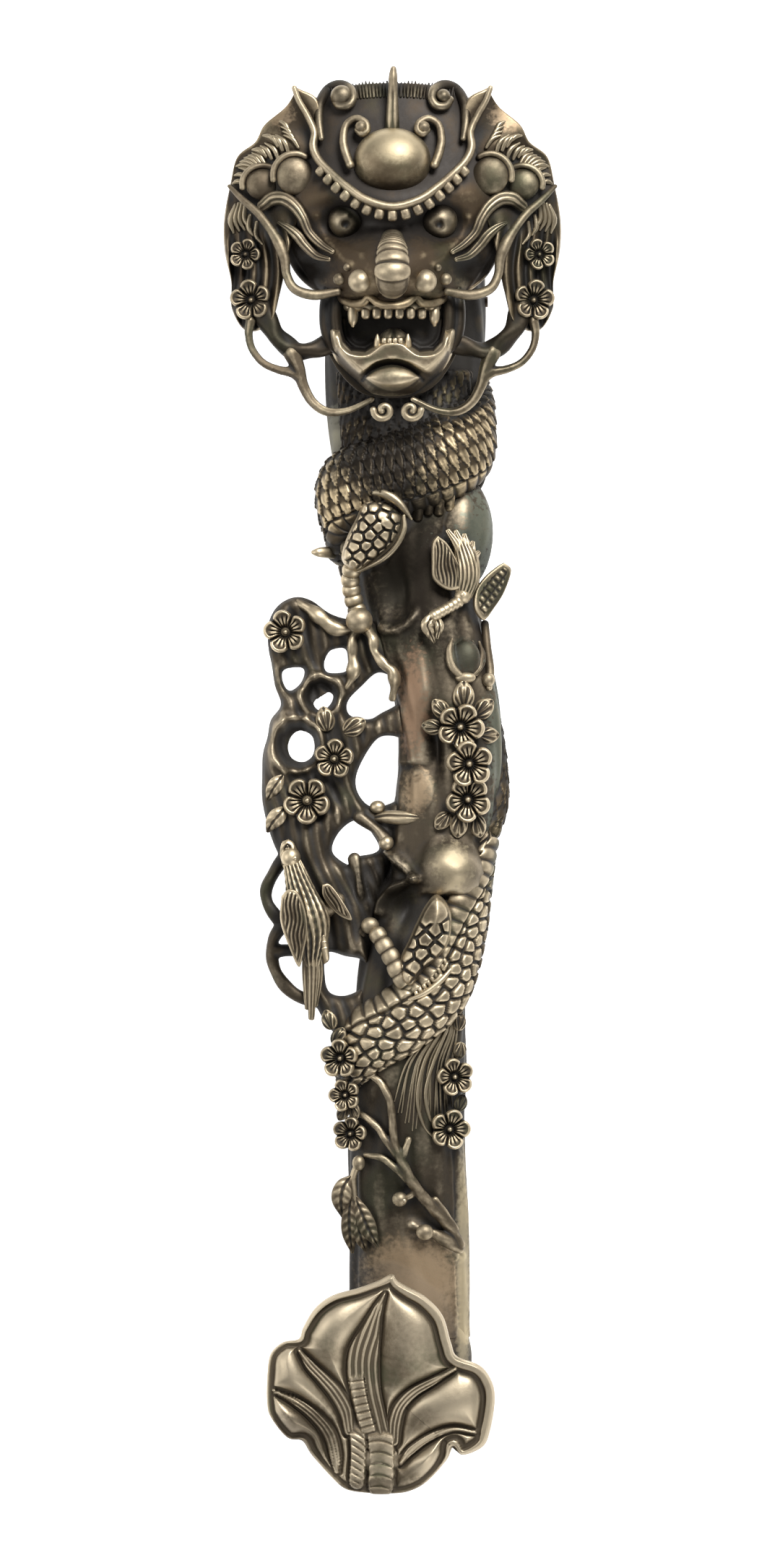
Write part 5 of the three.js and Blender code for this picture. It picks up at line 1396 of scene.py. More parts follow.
def bud_groove(length, angle):
    return -0.35 * peak(angle - 1.9, 0.2) + 0 * length


foliage = [
    placed(PETAL, set_at((-19.8, 18.4, LATTICE_Z + 4.4), 3.4, 10)),
    placed(PETAL, set_at((-11.6, 16.4, LATTICE_Z + 4.6), 3.4, -60)),
    *[leaf(over_lattice(blade)) for blade in LATTICE_LEAVES],
    tube(over_lattice(POINTED_BUD), sides=40, flat=0.7, spacing=0.4, relief=bud_groove),
    pebble((-4.4, -7.2, LATTICE_Z + 3), (2.3, 1.9, 2)),
    pebble((-1.8, -17.8, LATTICE_Z + 5.4), (2.2, 2.2, 2.2)),
]
casting("lattice_foliage", foliage, worn_bronze, "worn_bronze", "branch_lattice", tone_shift=-0.14)
for name, x, y, radius, turn in (
    ("lattice_blossom_top", -31.6, 44.5, 6.4, 12),
    ("lattice_blossom_middle", -17.2, 7, 5.9, -6),
    ("lattice_blossom_lower", -25.2, -5.3, 7, 36),
):
    place = set_at((x, y, LATTICE_Z + 6), radius, turn, (-4, -6))
    stations = over_lattice([(x, y, 0, radius * 0.3), (x, y, 5, radius * 0.22)])
    stalk = tube(stations, sides=16, up=(0, 1, 0))
    casting(name, [placed(BLOSSOM, place), stalk], worn_bronze, "worn_bronze", name, tone_shift=-0.16)


# Dragon's limbs and tail: plated thighs edged by rolled rims and fins of spines, shins of bands or discs, and
# a claw that grips the branch, all cast and brazed on. The tail ends in a fan of hair laid down the trunk.

def fore(x, y, lift):
    return tuple(float(axis) for axis in trunk_front(float(x), float(y), lift))


def trunk_bar(path, lift, radii, **shape):
    """A bar laid on the trunk's front along a path of x and y."""
    lifts = np.broadcast_to(lift, (len(path),))
    sizes = np.broadcast_to(radii, (len(path),))
    return tube([(*fore(x, y, rise), radius) for (x, y), rise, radius in zip(path, lifts, sizes)], **shape)


def thigh(outline, middle, height, swell, turn, pitch, bare):
    """A low dome inside an outline, chased with plates in rows along turn, in degrees from +X. A round of it
    is left bare, at x and y with a radius."""
    edge = closed_spline(outline, 14) - np.array(middle, float)
    along_x, along_y = math.cos(math.radians(turn)), math.sin(math.radians(turn))

    def dome(x, y):
        inner = np.clip(edge_distance(x, y, edge), 0, None)
        rows = cobbles(x * along_x + y * along_y, x * along_y - y * along_x, pitch)
        from_bare = np.hypot(x + middle[0] - bare[0], y + middle[1] - bare[1])
        rows = 1 - (1 - rows) * smooth(0.75 * bare[2], bare[2], from_bare)
        swelling = swell * np.sqrt(1 - (1 - np.clip(inner / 6.5, 0, 1)) ** 2)
        return swelling + 1.3 * rows * smooth(0.2, 1.0, inner)

    return moved(plate(edge, dome, level_at(-7), rings=64, bulge=0.2), *middle, height)


def bands(length, angle):
    return 0.9 * plates(length, 3.2) - 0.5


def discs(length, angle):
    return 0.9 * plates(length, 3.9, 0.3) - 0.6


def fin_spines(inner, outer, lift, count):
    """Tapered spines side by side from one edge of a fin to the other."""
    spines = []
    for start, end in zip(spline(inner, count), spline(outer, count)):
        path = [tuple(start), tuple((start + end) / 2), tuple(end)]
        spines.append(trunk_bar(path, [lift, lift + 0.6, lift], [0.7, 0.65, 0.3], sides=12, spacing=0.5))
    return spines


FORE_THIGH = [
    (-8, 83), (-2, 82.6), (2.4, 79.2), (2.6, 75), (0.4, 70.6), (-3.4, 67), (-7.4, 64), (-11.2, 62.4),
    (-14.8, 66), (-13.6, 71.6), (-10.6, 78),
]
fore_height = fore(-6, 73, 0)[2] + 4.4
FORE_SHIN = [(-11.8, 64), (-12.4, 60), (-11.8, 55.4), (-10.4, 50.6)]
elbow_spur = [
    (*fore(-13, 69, 3), 2.8),
    (*fore(-18, 68.4, 2), 2.2),
    (-21.6, 68.2, LATTICE_Z, 1.4),
    (-23.6, 68.2, LATTICE_Z, 0.6),
]
foreleg = [
    thigh(FORE_THIGH, (-6.2, 72.6), fore_height, 4.6, -120, 3.2, (-2, 76.6, 1.6)),
    trunk_bar(
        FORE_SHIN, [5.4, 4.8, 4.2, 3.8], [2.5, 2.4, 2.4, 2.4], sides=28, flat=0.8, spacing=0.25, relief=bands
    ),
    tube(elbow_spur, flat=0.7),
    *fin_spines([(-10.6, 82), (-13, 76), (-15.2, 68)], [(-12.6, 85.6), (-16.4, 79), (-18.8, 71)], 3, 12),
]
UPPER_RIM = [(-9.2, 83.8), (-6, 85.4), (-2, 85), (2, 82.4), (5.6, 77.6)]
LOWER_RIM = [(3.4, 78.6), (3.5, 74.6), (1.4, 70), (-2.8, 65.8), (-10, 62.2)]
fore_rims = [
    trunk_bar(UPPER_RIM, 5.4, [0.4, 1.1, 1.5, 1.3, 0.4], spacing=0.4),
    trunk_bar(LOWER_RIM, 6.2, [0.5, 0.75, 0.75, 0.75, 0.5], spacing=0.4),
]
casting("foreleg", foreleg, worn_bronze, "worn_bronze", "dragon_foreleg", tone_shift=-0.06)
casting("foreleg_rims", fore_rims, dark_bronze, "worn_bronze", "dragon_foreleg", tone_shift=-0.05)

knuckle = fore(-9.5, 47.4, 4.2)
TOES = [
    [(-13, 45.4, 3.6, 1.9), (-17.4, 45.8, 4, 2), (-21.4, 48.8, 4, 2.1), (-24.6, 51.2, 3, 1.9),
     (-28, 53, 1.6, 1.3)],
    [(-11.8, 42.6, 4.4, 1.5), (-11.8, 38, 4.4, 1.4), (-11.4, 33.4, 4.4, 2), (-12.2, 30.6, 3.6, 1.5),
     (-14.2, 27.2, 2, 0.5)],
    [(-6, 43, 6.4, 1.5), (-5.2, 38.6, 7.2, 1.3), (-2.2, 34.8, 8.4, 1.4), (0, 32.8, 8.6, 1.8),
     (0.6, 29.4, 7.4, 1.6), (0, 24.8, 5.6, 0.8)],
]
claw = [pebble(fore(-9.8, 47.9, 6.2), (4, 3.8, 3.8), sides=40, rows=24)]


def toe_joints(length, angle):
    return 0.22 * np.sin(0.95 * length + 0.6 * np.sin(angle)) + 0.1 * np.cos(3 * angle + 0.4 * length)


for toe in TOES:
    stations = [(*knuckle, 1.9), *over_lattice(toe)]
    claw.append(tube(stations, sides=22, spacing=0.3, relief=toe_joints))
casting("foreclaw", claw, worn_bronze, "worn_bronze", "dragon_foreclaw", tone_shift=-0.18)

HIND_THIGH = [
    (13.2, -33), (16.8, -37), (17.4, -42), (16.4, -47.6), (13, -52), (9.4, -55), (5.6, -60), (2.6, -58),
    (2.4, -52), (5, -46.4), (7.4, -41), (10, -36),
]
hind_height = fore(10, -46, 0)[2] + 3.4
hind_leg = [
    thigh(HIND_THIGH, (10.2, -46.6), hind_height, 4.4, -118, 4, (12.4, -38, 4.4)),
    trunk_bar([(17.4, -54.8), (14.2, -58.4), (9.6, -62), (5, -64)], 5.4, [0.5, 0.9, 0.9, 0.5], spacing=0.4),
    *fin_spines(
        [(14.8, -51.4), (11, -56.4), (6.8, -61.4)], [(16.8, -55.2), (12.8, -59.8), (7.6, -63.6)], 4.2, 9
    ),
]
casting("hind_leg", hind_leg, worn_bronze, "worn_bronze", "dragon_hind_leg", tone_shift=-0.1)
hind_shin = [
    trunk_bar([(4.4, -59.6), (2, -56.4), (0.4, -52.8), (-2.2, -48.4), (-4.6, -44.4)], [4, 4.2, 3.8, 3.4, 3.2],
              [2.5, 2.6, 2.5, 2.4, 2.3], sides=36, flat=0.75, spacing=0.22, relief=discs),
    pebble(fore(-6.6, -42.2, 3), (2.7, 2.5, 2.1)),
    pebble(fore(-9, -44.2, 2.4), (1.6, 1.8, 1.5)),
]
casting("hind_shin", hind_shin, worn_bronze, "worn_bronze", "dragon_hind_leg", tone_shift=-0.2)

strands = []
STRANDS = 17
for k in range(STRANDS):
    share = k / (STRANDS - 1)
    tip_x = 0.6 + 17 * share
    tip_y = -89 - 14 * math.sin(math.pi * (0.12 + 0.72 * share)) - 1.5 * (k % 2)
    sway = 0.9 * math.sin(2.4 * k)
    path = [
        (19 - 0.6 * (1 - share), -63 - 2.5 * (1 - share)),
        (18.6 - 7 * (1 - share) + 0.3 * sway, -73 - 2 * share),
        (16.8 - 12.6 * (1 - share) + sway * 0.6, -83 - 2 * share),
        (tip_x, tip_y),
    ]
    strands.append(trunk_bar(path, [1.8, 0.9, 0.6, 0.3], [0.5, 0.42, 0.36, 0.2], sides=10, spacing=0.6))
for path in (
    [(15, -72), (9.6, -82), (7.4, -93), (9.4, -101.6), (13.6, -106)],
    [(16, -73), (12, -83), (9.8, -91.6), (11, -99), (13, -101)],
):
    lifts, radii = [1.6, 1.2, 0.9, 0.8, 0.6], [0.6, 0.6, 0.6, 0.5, 0.25]
    strands.append(trunk_bar(path, lifts, radii, sides=12, spacing=0.6))
casting("tail_fan", strands, dark_bronze, "dark_bronze", "tail_hair")


# Birds: one dives down the trunk's right with a sprig in its beak, and a long-tailed one sits on the branch.
# Each is one casting, with feathers chased in rows.

def wing(outline, root, tip, height, slant=None):
    """A wing inside an outline, bordered, and chased from root to tip in slanted lines or in dashes."""
    edge = spline(outline + outline[:1], 150)[:-1]
    middle = edge.mean(axis=0)
    axis = unit(np.array(tip, float) - np.array(root, float))
    spread = np.abs((edge - np.array(root)) @ np.array([-axis[1], axis[0]])).max()

    def top(x, y):
        dx, dy = x + middle[0] - root[0], y + middle[1] - root[1]
        along, across = dx * axis[0] + dy * axis[1], dy * axis[0] - dx * axis[1]
        inside = smooth(0.6, 1.0, edge_distance(x, y, edge - middle) - (0.5 if slant is None else 0))
        if slant is None:
            lines = np.abs(np.cos(np.pi * across / 2.5)) ** 0.5 * plates(along, 1.9, 0.5)
        else:
            bent = across + slant * along + 0.3 * np.sin(0.7 * along)
            lines = np.abs(np.cos(np.pi * bent / 1.2)) ** 0.6
        return height * (1 - 0.5 * (across / spread) ** 2) + 0.5 + inside * (0.75 * lines - 0.5)

    return moved(plate(edge - middle, top, level_at(-0.6), rings=46, bulge=0.25), *middle, 0)


def streaks(length, angle):
    return 0.34 * np.cos(17 * angle + 0.8 * np.sin(0.5 * length))


def quills(length, angle):
    return 0.16 * np.cos(7 * angle)


bird_seat = trunk_seat(22, 58, 3.2)
LEFT_WING = [
    (-9.4, 14.6), (-10.8, 12.4), (-10.8, 7), (-10.2, 2), (-6.1, -1), (-2, 0), (-2, 3.4), (-4, 8),
    (-6.6, 12.4),
]
RIGHT_WING = [
    (10.8, 6.8), (12.8, 4.6), (10.9, -1.4), (7.8, -6.4), (5, -9.8), (2.6, -8), (1.8, -5), (2.6, -1),
    (5.4, 2.8), (9, 5.8),
]
# Each row of a bird's body, leaf or feather is x, y, z and radius from the bird's middle.
FLYER_BODY = [(-2, 13, 0.5, 2.2), (-0.6, 8, 1.2, 3.4), (-0.2, 2.4, 1.6, 3.5), (-1, -2.2, 1.2, 2.5)]
flyer = [
    tube(FLYER_BODY, sides=60, flat=0.85, spacing=0.4, relief=streaks),
    moved(wing(LEFT_WING, (-3, 1), (-10, 14), 1.6, 0.45), 0, 0, 0.8),
    moved(wing(RIGHT_WING, (2.4, -6), (11.6, 6), 1.6), 0, 0, 0.8),
    pebble((-1.6, -3, 1.6), (2.5, 2.3, 2.2)),
    pebble((-2.2, -2.6, 3.5), (0.7, 0.7, 0.5), sides=16, rows=10),
    tube([(-2.4, -4.2, 1.6, 1.7), (-6, -6.4, 1.6, 1.5), (-10.4, -8.8, 1.6, 1.6)], spacing=0.3,
         relief=lambda length, angle: 0.35 * plates(length, 1.5) - 0.15 + 0 * angle),
    leaf(
        [(-10.6, -8.6, 1.6, 1.2), (-12.4, -11.4, 1.8, 2), (-11.6, -14, 1.6, 1.4), (-10.2, -16.6, 1.2, 0.4)],
        flat=0.6,
    ),
    leaf([(-9.6, -9.4, 1.2, 1), (-8.8, -12, 1.4, 1.5), (-9.4, -15.4, 1.2, 0.5)], flat=0.6),
]
for tip_x, tip_y in ((-6, 16.4), (-3.6, 16.2), (-1, 15.2), (1.6, 13), (3.4, 10)):
    feather = [(-0.6, 5, 1.6, 1.2), (tip_x * 0.5, (tip_y + 5) / 2 + 1, 1.6, 1.3), (tip_x, tip_y, 0.8, 0.6)]
    flyer.append(tube(feather, sides=32, flat=0.7, spacing=0.4, relief=quills))
flyer = [placed(shell, bird_seat) for shell in flyer]
casting("flying_bird", flyer, worn_bronze, "worn_bronze", "flying_bird", tone_shift=-0.1)


def dotted(length, angle):
    lines = 0.32 * np.cos(15 * angle + 0.9 * np.sin(0.45 * length))
    return lines + 0.1 * np.sin(2.6 * length) * np.cos(7 * angle)


SITTING_WING = [
    (-7.4, 5), (-5.4, 7), (-2.6, 6), (-0.6, 1), (0, -5), (-1, -11), (-2.4, -15.4), (-5, -10), (-7.6, -2),
]
FAR_WING = [(4.6, 8.4), (6.6, 8.6), (9.6, 5), (13.2, -1.4), (10.2, -0.8), (7, 2), (4.8, 5.4)]
SITTER_BODY = [
    (-4.6, 15.6, 1.2, 2.4), (-3.2, 11.4, 1.4, 3.2), (-1.4, 5, 1, 4.4), (1, -2, 0.4, 5.6),
    (1.4, -9, -0.4, 4.2), (1.5, -14, -1, 2.7),
]
sitter = [
    tube(SITTER_BODY, sides=84, flat=0.9, spacing=0.4, relief=dotted),
    moved(wing(SITTING_WING, (-4, 5), (-4.4, -12), 1.8, 0.0), 0, 0, 4),
    moved(wing(FAR_WING, (4.8, 8), (13, -1), 1.2, 0.3), 0, 0, 1.2),
    pebble((-4.8, 16.6, 1.8), (2.9, 3.1, 2.8)),
    pebble((-3.6, 16.4, 4.3), (0.75, 0.75, 0.5), sides=16, rows=10),
    leaf(
        [(-4.4, 18.4, 2, 1.6), (-5.8, 20.4, 2, 1.7), (-6.8, 17.6, 1.8, 1.2), (-7, 14.6, 1.4, 0.4)], flat=0.7
    ),
    tube([(0, 0, -1, 3), (6, 1.5, -1.5, 2.6), (9, 4, -1, 2.2)]),
]
for offset, length, rise in ((-1.5, 28, -0.3), (1.5, 27, -0.3), (0, 31, 0.5)):
    quill = [
        (1.4 + offset * 0.7, -11, 0.4 + rise, 1.6),
        (1.7 + offset, -18, -1 + rise, 1.5),
        (1.3 + offset * 0.7, -length, -2.4 + rise, 0.8),
    ]
    sitter.append(tube(quill, sides=32, flat=0.7, spacing=0.5, relief=quills))
for k in range(7):
    feather = [
        (3.4 + 0.3 * k, 0.6 - 1.8 * k, 3.4 - 0.3 * k, 1.1),
        (5 + 0.1 * k, -2.4 - 1.8 * k, 2.2 - 0.3 * k, 1),
        (5.6 - 0.1 * k, -5 - 1.6 * k, 1.2 - 0.3 * k, 0.4),
    ]
    sitter.append(tube(feather, sides=16, flat=0.6, spacing=0.5))
perch = Matrix.Translation((-25.2, -38.7, LATTICE_Z + 6))
sitter = [placed(shell, perch) for shell in sitter]
casting("perched_bird", sitter, worn_bronze, "worn_bronze", "perched_bird", tone_shift=-0.12)


# Twig and leaves: a forked plum twig in relief with round buds and a spray of four veined leaves, cast as
# bars and brazed low on the trunk. A calyx of sepals stands on the trunk's right, under the diving bird.

# Each row of a twig, leaf or sepal is x, y and radius.
TWIGS = [
    [(20, -137, 2.2), (16.4, -131, 2.3), (11.2, -125, 2.3), (6, -118.4, 2.2), (2.6, -111.6, 2),
     (0.6, -106, 1.7), (0, -100, 1.6), (-0.8, -94, 1.5), (-3.6, -88.6, 1.4), (-8.4, -85.2, 1.1)],
    [(2.2, -111, 1.6), (-1, -107, 1.5), (-4.4, -102, 1.4), (-8.4, -98.6, 1.3), (-11.6, -98, 1)],
    [(5.6, -118.4, 1.7), (1.2, -114.2, 1.5), (-3.2, -111, 1.4), (-8, -110.2, 1)],
    [(2.4, -111.6, 1.6), (3.6, -109, 1.5), (4.8, -105.4, 1.2)],
    [(7.4, -120.4, 1.4), (5, -122.4, 1.2), (2.4, -123.2, 1)],
    [(20, -138.6, 1.6), (16, -135.6, 2.8), (12.4, -133.6, 2), (9.6, -133, 1.4)],
    [(18.4, -132.4, 1.8), (15.6, -128, 1.8), (12.6, -123.4, 1.4)],
]


def bark_rings(length, angle):
    return 0.07 * np.sin(1.1 * length + 2 * np.sin(2 * angle))


twigs = []
for twig in TWIGS:
    path = [(x, y) for x, y, _ in twig]
    radii = [0.76 * radius for _, _, radius in twig]
    twigs.append(trunk_bar(path, 1.0, radii, sides=20, spacing=0.5, relief=bark_rings))
casting("twig", twigs, worn_bronze, "worn_bronze", "lower_twig", weld=0.28, tone_shift=-0.26)
buds = [
    pebble(fore(2.2, -123.2, 1.6), (2.3, 2.2, 2.1), sides=28, rows=18),
    pebble(fore(9.6, -133, 1.8), (2.6, 2.4, 2.3), sides=28, rows=18),
    tube([(*fore(1.2, -122.6, 2.6), 0.7), (*fore(3.6, -123.6, 2.8), 0.7)], sides=12),
]
casting("twig_buds", buds, worn_bronze, "worn_bronze", "lower_twig", tone_shift=-0.2)

SPRAY_LEAVES = [
    [(-12.4, -116.6, 0.6), (-14.4, -119.6, 2.6), (-15.2, -123.6, 2.8), (-14.8, -128.6, 0.4)],
    [(-12.2, -122, 0.6), (-12.8, -128, 2.1), (-12.6, -133.6, 2.3), (-11.8, -139.4, 0.4)],
    [(-11.4, -122, 0.6), (-9, -127.6, 2.4), (-7, -132.4, 2.6), (-4.2, -137.4, 0.4)],
    [(-11.8, -122.6, 0.6), (-10.7, -128.6, 1.9), (-9.4, -134.4, 2.1), (-7.8, -139, 0.4)],
]
spray = []
for blade in SPRAY_LEAVES:
    stations = [(x, y, fore(max(x, -7), y, 1 + 0.3 * width)[2], width) for x, y, width in blade]
    spray.append(leaf(stations, flat=0.32))
stem = [(-10, -112.6, 1.1), (-11.6, -117, 1), (-11.2, -124, 0.9), (-11.8, -130, 0.5)]
spray.append(tube([(x, y, fore(-7.5, y, 1)[2], radius) for x, y, radius in stem], spacing=0.5))
spray.append(pebble((-10, -112.6, fore(-7.5, -112.6, 1)[2]), (1.9, 2.3, 1.8)))
casting("leaf_spray", spray, worn_bronze, "worn_bronze", "leaf_spray", tone_shift=-0.2)

SEPALS = [
    [(19.6, 32, 1.2), (17.6, 35.4, 1.8), (17.2, 38.6, 1.4), (18, 41.4, 0.4)],
    [(21.4, 32, 1.6), (20.4, 36, 2.2), (20.6, 39.4, 1.6), (21.2, 42.6, 0.4)],
    [(22.8, 32, 1.4), (23.8, 36, 2), (24, 39, 1.5), (23.6, 42, 0.4)],
    [(24.2, 32, 1.2), (26, 35.4, 1.5), (26.4, 38.4, 1.2), (25.6, 41, 0.4)],
]
calyx = [
    tube([(*fore(x, y, 1 + 0.3 * width), width) for x, y, width in sepal], sides=28, flat=0.55, spacing=0.4)
    for sepal in SEPALS
]
calyx.append(pebble(fore(21.6, 36.6, 0.8), (4.4, 5.6, 2.8)))
casting("calyx", calyx, brown_bronze, "brown_bronze", "trunk_shell", weld=0.3, tone_shift=-0.3)
calyx_rim = [
    trunk_bar(
        [(17.6, 42.4), (16.8, 38.6), (17.8, 34.2), (20.6, 31)], 1.8, [0.4, 1, 1.2, 0.9], flat=0.7, spacing=0.4
    ),
    trunk_bar(
        [(25.6, 41.6), (26.4, 38), (25.4, 34), (22.6, 31)], 1.8, [0.4, 0.8, 0.9, 0.8], flat=0.7, spacing=0.4
    ),
    pebble(fore(21.6, 31, 1.6), (3, 1.7, 1.6)),
    trunk_bar([(27.4, 47), (28, 40), (28.8, 33), (28.6, 28)], 1.4, [1.2, 1.3, 1.4, 0.9], spacing=0.5),
    pebble(fore(28.4, 30.4, 2), (1.9, 2.1, 1.9)),
]
casting("calyx_rim", calyx_rim, worn_bronze, "brown_bronze", "trunk_shell", tone_shift=-0.2)


# Cloud leaf: the lobed foot of the scepter, a cast and dished plate with a raised rim. Ribs of chased lines
# divide it into polished pillows and gather into a ringed stem and a banded root.

LEAF_EDGE = [
    (-0.2, -144.7), (-4, -146.6), (-9.8, -148.8), (-17.4, -151), (-22.6, -154.8), (-26, -160.4),
    (-27.4, -163.8), (-32, -164.8), (-35.6, -168.2), (-36.6, -174.4), (-36.7, -183), (-35.4, -187.4),
    (-30.8, -193), (-26.4, -194), (-23.6, -198.2), (-17.8, -204.8), (-13.5, -208.4), (-7, -209.5),
    (-2, -209.7), (4.4, -209.1), (10, -206.2), (15.8, -199.8), (17.8, -195.8), (20.6, -198.2),
    (26.4, -195.8), (28.6, -191), (30, -181.6), (28.8, -175.8), (25.4, -171.6), (18.8, -169), (17, -165),
    (14.6, -157), (9.6, -151.4), (3.6, -148), (1.2, -146.4),
]
# Each rib is a path and the half widths along it.
LEAF_RIBS = [
    ([(-2.2, -150), (-4.4, -155), (-6.4, -161), (-8.4, -167.6), (-8.8, -173), (-8, -180), (-6.4, -187),
      (-5, -193)],
     [0.5, 1.6, 3.2, 4.8, 5, 4.6, 4.4, 4.4]),
    ([(18.6, -172.4), (12.4, -176), (6.4, -179.4), (2.4, -183.6), (0.8, -188.4), (0.4, -194)],
     [0.8, 1.3, 1.7, 2, 2.2, 1.8]),
    ([(-27.4, -167), (-24.2, -171.4), (-20.4, -175.4), (-16.6, -179.8), (-13.8, -185), (-12.8, -191)],
     [0.8, 1.7, 2.1, 2.4, 2.4, 1.6]),
    ([(-35, -179), (-28.4, -182.2), (-22.8, -186.6), (-18.6, -192), (-17, -198), (-16.4, -203)],
     [0.7, 1.5, 1.9, 2.2, 2, 1]),
    ([(24.6, -191.4), (18, -190.4), (11.6, -192.6), (5.6, -196.8), (2.4, -200.6)],
     [0.7, 1, 1.3, 1.4, 1]),
]
LEAF_STEM = [(-10.8, -173.6), (-9.8, -180), (-8.4, -186), (-6.8, -191.6)]
# Each column of the root is a path, a half width, the height of a course and a slant.
ROOT_COLUMNS = [
    ([(-11.2, -185), (-10, -196), (-10.4, -206)], 2.5, 2.1, 0.5),
    ([(-4.4, -185), (-3.2, -197), (-3.4, -207)], 4, 3.4, 0.0),
]
# Each pillow's dome is x, y, half width and half height.
LEAF_DOMES = [
    (-16.4, -161.5, 9.5, 10.5), (5, -165.5, 9.5, 15), (-29.6, -175, 8.5, 9), (-29, -186.5, 8, 6),
    (18.4, -183.4, 12, 9), (10.6, -199, 7, 5), (-19.6, -199, 4, 7),
]
DOME_HEIGHT = 3.4
LEAF_SLOPE = 0.18
STEM_RINGS = 8


def leaf_top(x, y):
    x, y = x + LEAF_X, y + LEAF_Y
    rim = np.clip(edge_distance(x, y, leaf_loop + np.array([LEAF_X, LEAF_Y])), 0, None)
    rim_width = 0.8 + (0.9 * smooth(-32, -20, x) + 1.2 * smooth(-6, 6, x)) * smooth(-203, -190, y)
    edge = np.clip(rim - rim_width - 0.8, 0, None)
    ribs = np.zeros(x.shape)
    for path, halves in LEAF_RIBS:
        away, along = off_path(x, y, path, 150)
        half = np.interp(along, np.linspace(0, 1, len(halves)), halves)
        edge = np.minimum(edge, np.clip(away - half - 0.3, 0, None))
        lines = 0.3 * np.cos(2 * np.pi * away / np.clip(half * 0.55, 1.1, 1.9))
        height = 2.2 + lines + 0.5 * (1 - (away / half) ** 2)
        ribs = np.maximum(ribs, smooth(half + 0.1, half - 0.5, away) * height)
    stem, along = off_path(x, y, LEAF_STEM, 140)
    rungs = 2.3 + 0.7 * plates(along, 1 / STEM_RINGS, 0.4) - 0.9 * smooth(1.9, 2.4, stem)
    shown = smooth(0, 0.12, along) * ((stem < 2.4) & (ribs > 1))
    ribs = ribs + (rungs - ribs) * shown
    for path, half, course, slant in ROOT_COLUMNS:
        away, along = off_path(x, y, path, 140)
        rise = smooth(0, 0.4, along)
        edge = np.minimum(edge, np.clip(away - half - 0.2, 0, None) + 4 * (1 - rise))
        across = x - path[0][0]
        bricks = plates(y + 0.06 * across**2 + slant * across, course, 0.3)
        column = 2.5 + 0.8 * bricks + 0.3 * (1 - (away / half) ** 2)
        ribs = np.maximum(ribs, rise * smooth(half + 0.1, half - 0.4, away) * column)
    domes = 0
    for dome_x, dome_y, wide, tall in LEAF_DOMES:
        domes = domes + DOME_HEIGHT * hill(x - dome_x, y - dome_y, wide, tall)
    pillow = 0.9 + 1.2 * (1 - np.exp(-edge / 0.5)) + domes * (1 - np.exp(-edge / 1.5))
    lip = 2.2 * smooth(rim_width, rim_width - 0.6, rim) * smooth(-0.4, 0.8, rim)
    return LEAF_SLOPE * (y - LEAF_Y) + 3.4 + np.maximum(np.maximum(pillow, ribs), lip)


def leaf_back(x, y):
    away = np.clip(1 - np.hypot(x / 33, y / 33), 0, 1)
    return LEAF_SLOPE * y + 2.8 * smooth(0, 0.7, away)


leaf_loop = closed_spline(LEAF_EDGE, 12) - np.array([LEAF_X, LEAF_Y])
cloud = moved(plate(leaf_loop, leaf_top, leaf_back, rings=114, bulge=0.3), LEAF_X, LEAF_Y, LEAF_Z)
LEAF_PAINTED_SHADE = (64, 54, 42)
leaf_bronze = bronze(
    "leaf_bronze",
    grime_and_shade=(74, 64, 49),
    body=(104, 93, 76),
    worn=(174, 161, 138),
    gloss=0.5,
    stains_and_painted_light=[
        # Painted shade towards the leaf's lower left and along its bottom.
        (LEAF_PAINTED_SHADE, (-26, -192, 40), (13, 10, 20), 0.6, 0.4),
        (LEAF_PAINTED_SHADE, (-3, -208, 40), (20, 4, 20), 0.6, 0.4),
    ],
)
casting("cloud_leaf", [cloud], leaf_bronze, "worn_bronze", "cloud_leaf", tone_shift=0.06)


# Finish: handling rubs the high points bright while patina stays in the recesses, deepened into painted shade
# where a piece lies low under or between others. Both are measured on the finished castings, and kept on their
# points for the bronze to read.

# Heights are kept on a grid of square cells over the whole scepter.
CELL = 0.4
GRID_START = (-54, -214)
GRID_SIZE = (108, 428)
EMPTY = -1000.0
REACHES = (2.0, 7.0)
FINE_REACH = 0.9
BROAD_REACH = 2.4


def blurred(values, cells):
    """A square running mean, cells to each side."""
    for axis in (0, 1):
        padded = np.pad(values, [(cells + 1, cells) if side == axis else (0, 0) for side in (0, 1)])
        total = np.cumsum(padded, axis=axis)
        count = values.shape[axis]
        upper = np.take(total, np.arange(count) + 2 * cells + 1, axis=axis)
        values = (upper - np.take(total, np.arange(count), axis=axis)) / (2 * cells + 1)
    return values


def coordinates(piece):
    flat = np.empty(3 * len(piece.data.vertices))
    piece.data.vertices.foreach_get("co", flat)
    return flat.reshape(-1, 3) / MILLIMETRE


def cell_of(points):
    column = np.round((points[:, 0] - GRID_START[0]) / CELL).astype(int)
    row = np.round((points[:, 1] - GRID_START[1]) / CELL).astype(int)
    return row, column


shape = (int(GRID_SIZE[1] / CELL) + 1, int(GRID_SIZE[0] / CELL) + 1)
levels = []
for facing in (1, -1):
    highest = np.full(shape, EMPTY)
    for piece, _ in castings:
        points = coordinates(piece)
        np.maximum.at(highest, cell_of(points), facing * points[:, 2])
    for _ in range(2):
        padded = np.pad(highest, 1, constant_values=EMPTY)
        around = [padded[r : r + shape[0], c : c + shape[1]] for r in range(3) for c in range(3)]
        highest = np.where(highest > EMPTY, highest, np.max(around, axis=0))
    covered = (highest > EMPTY).astype(float)
    height = np.where(covered > 0, highest, 0)
    means = []
    for reach in REACHES:
        cells = int(reach / CELL)
        weight = blurred(blurred(covered, cells), cells)
        means.append(blurred(blurred(height, cells), cells) / np.maximum(weight, 0.02))
    levels.append(means)


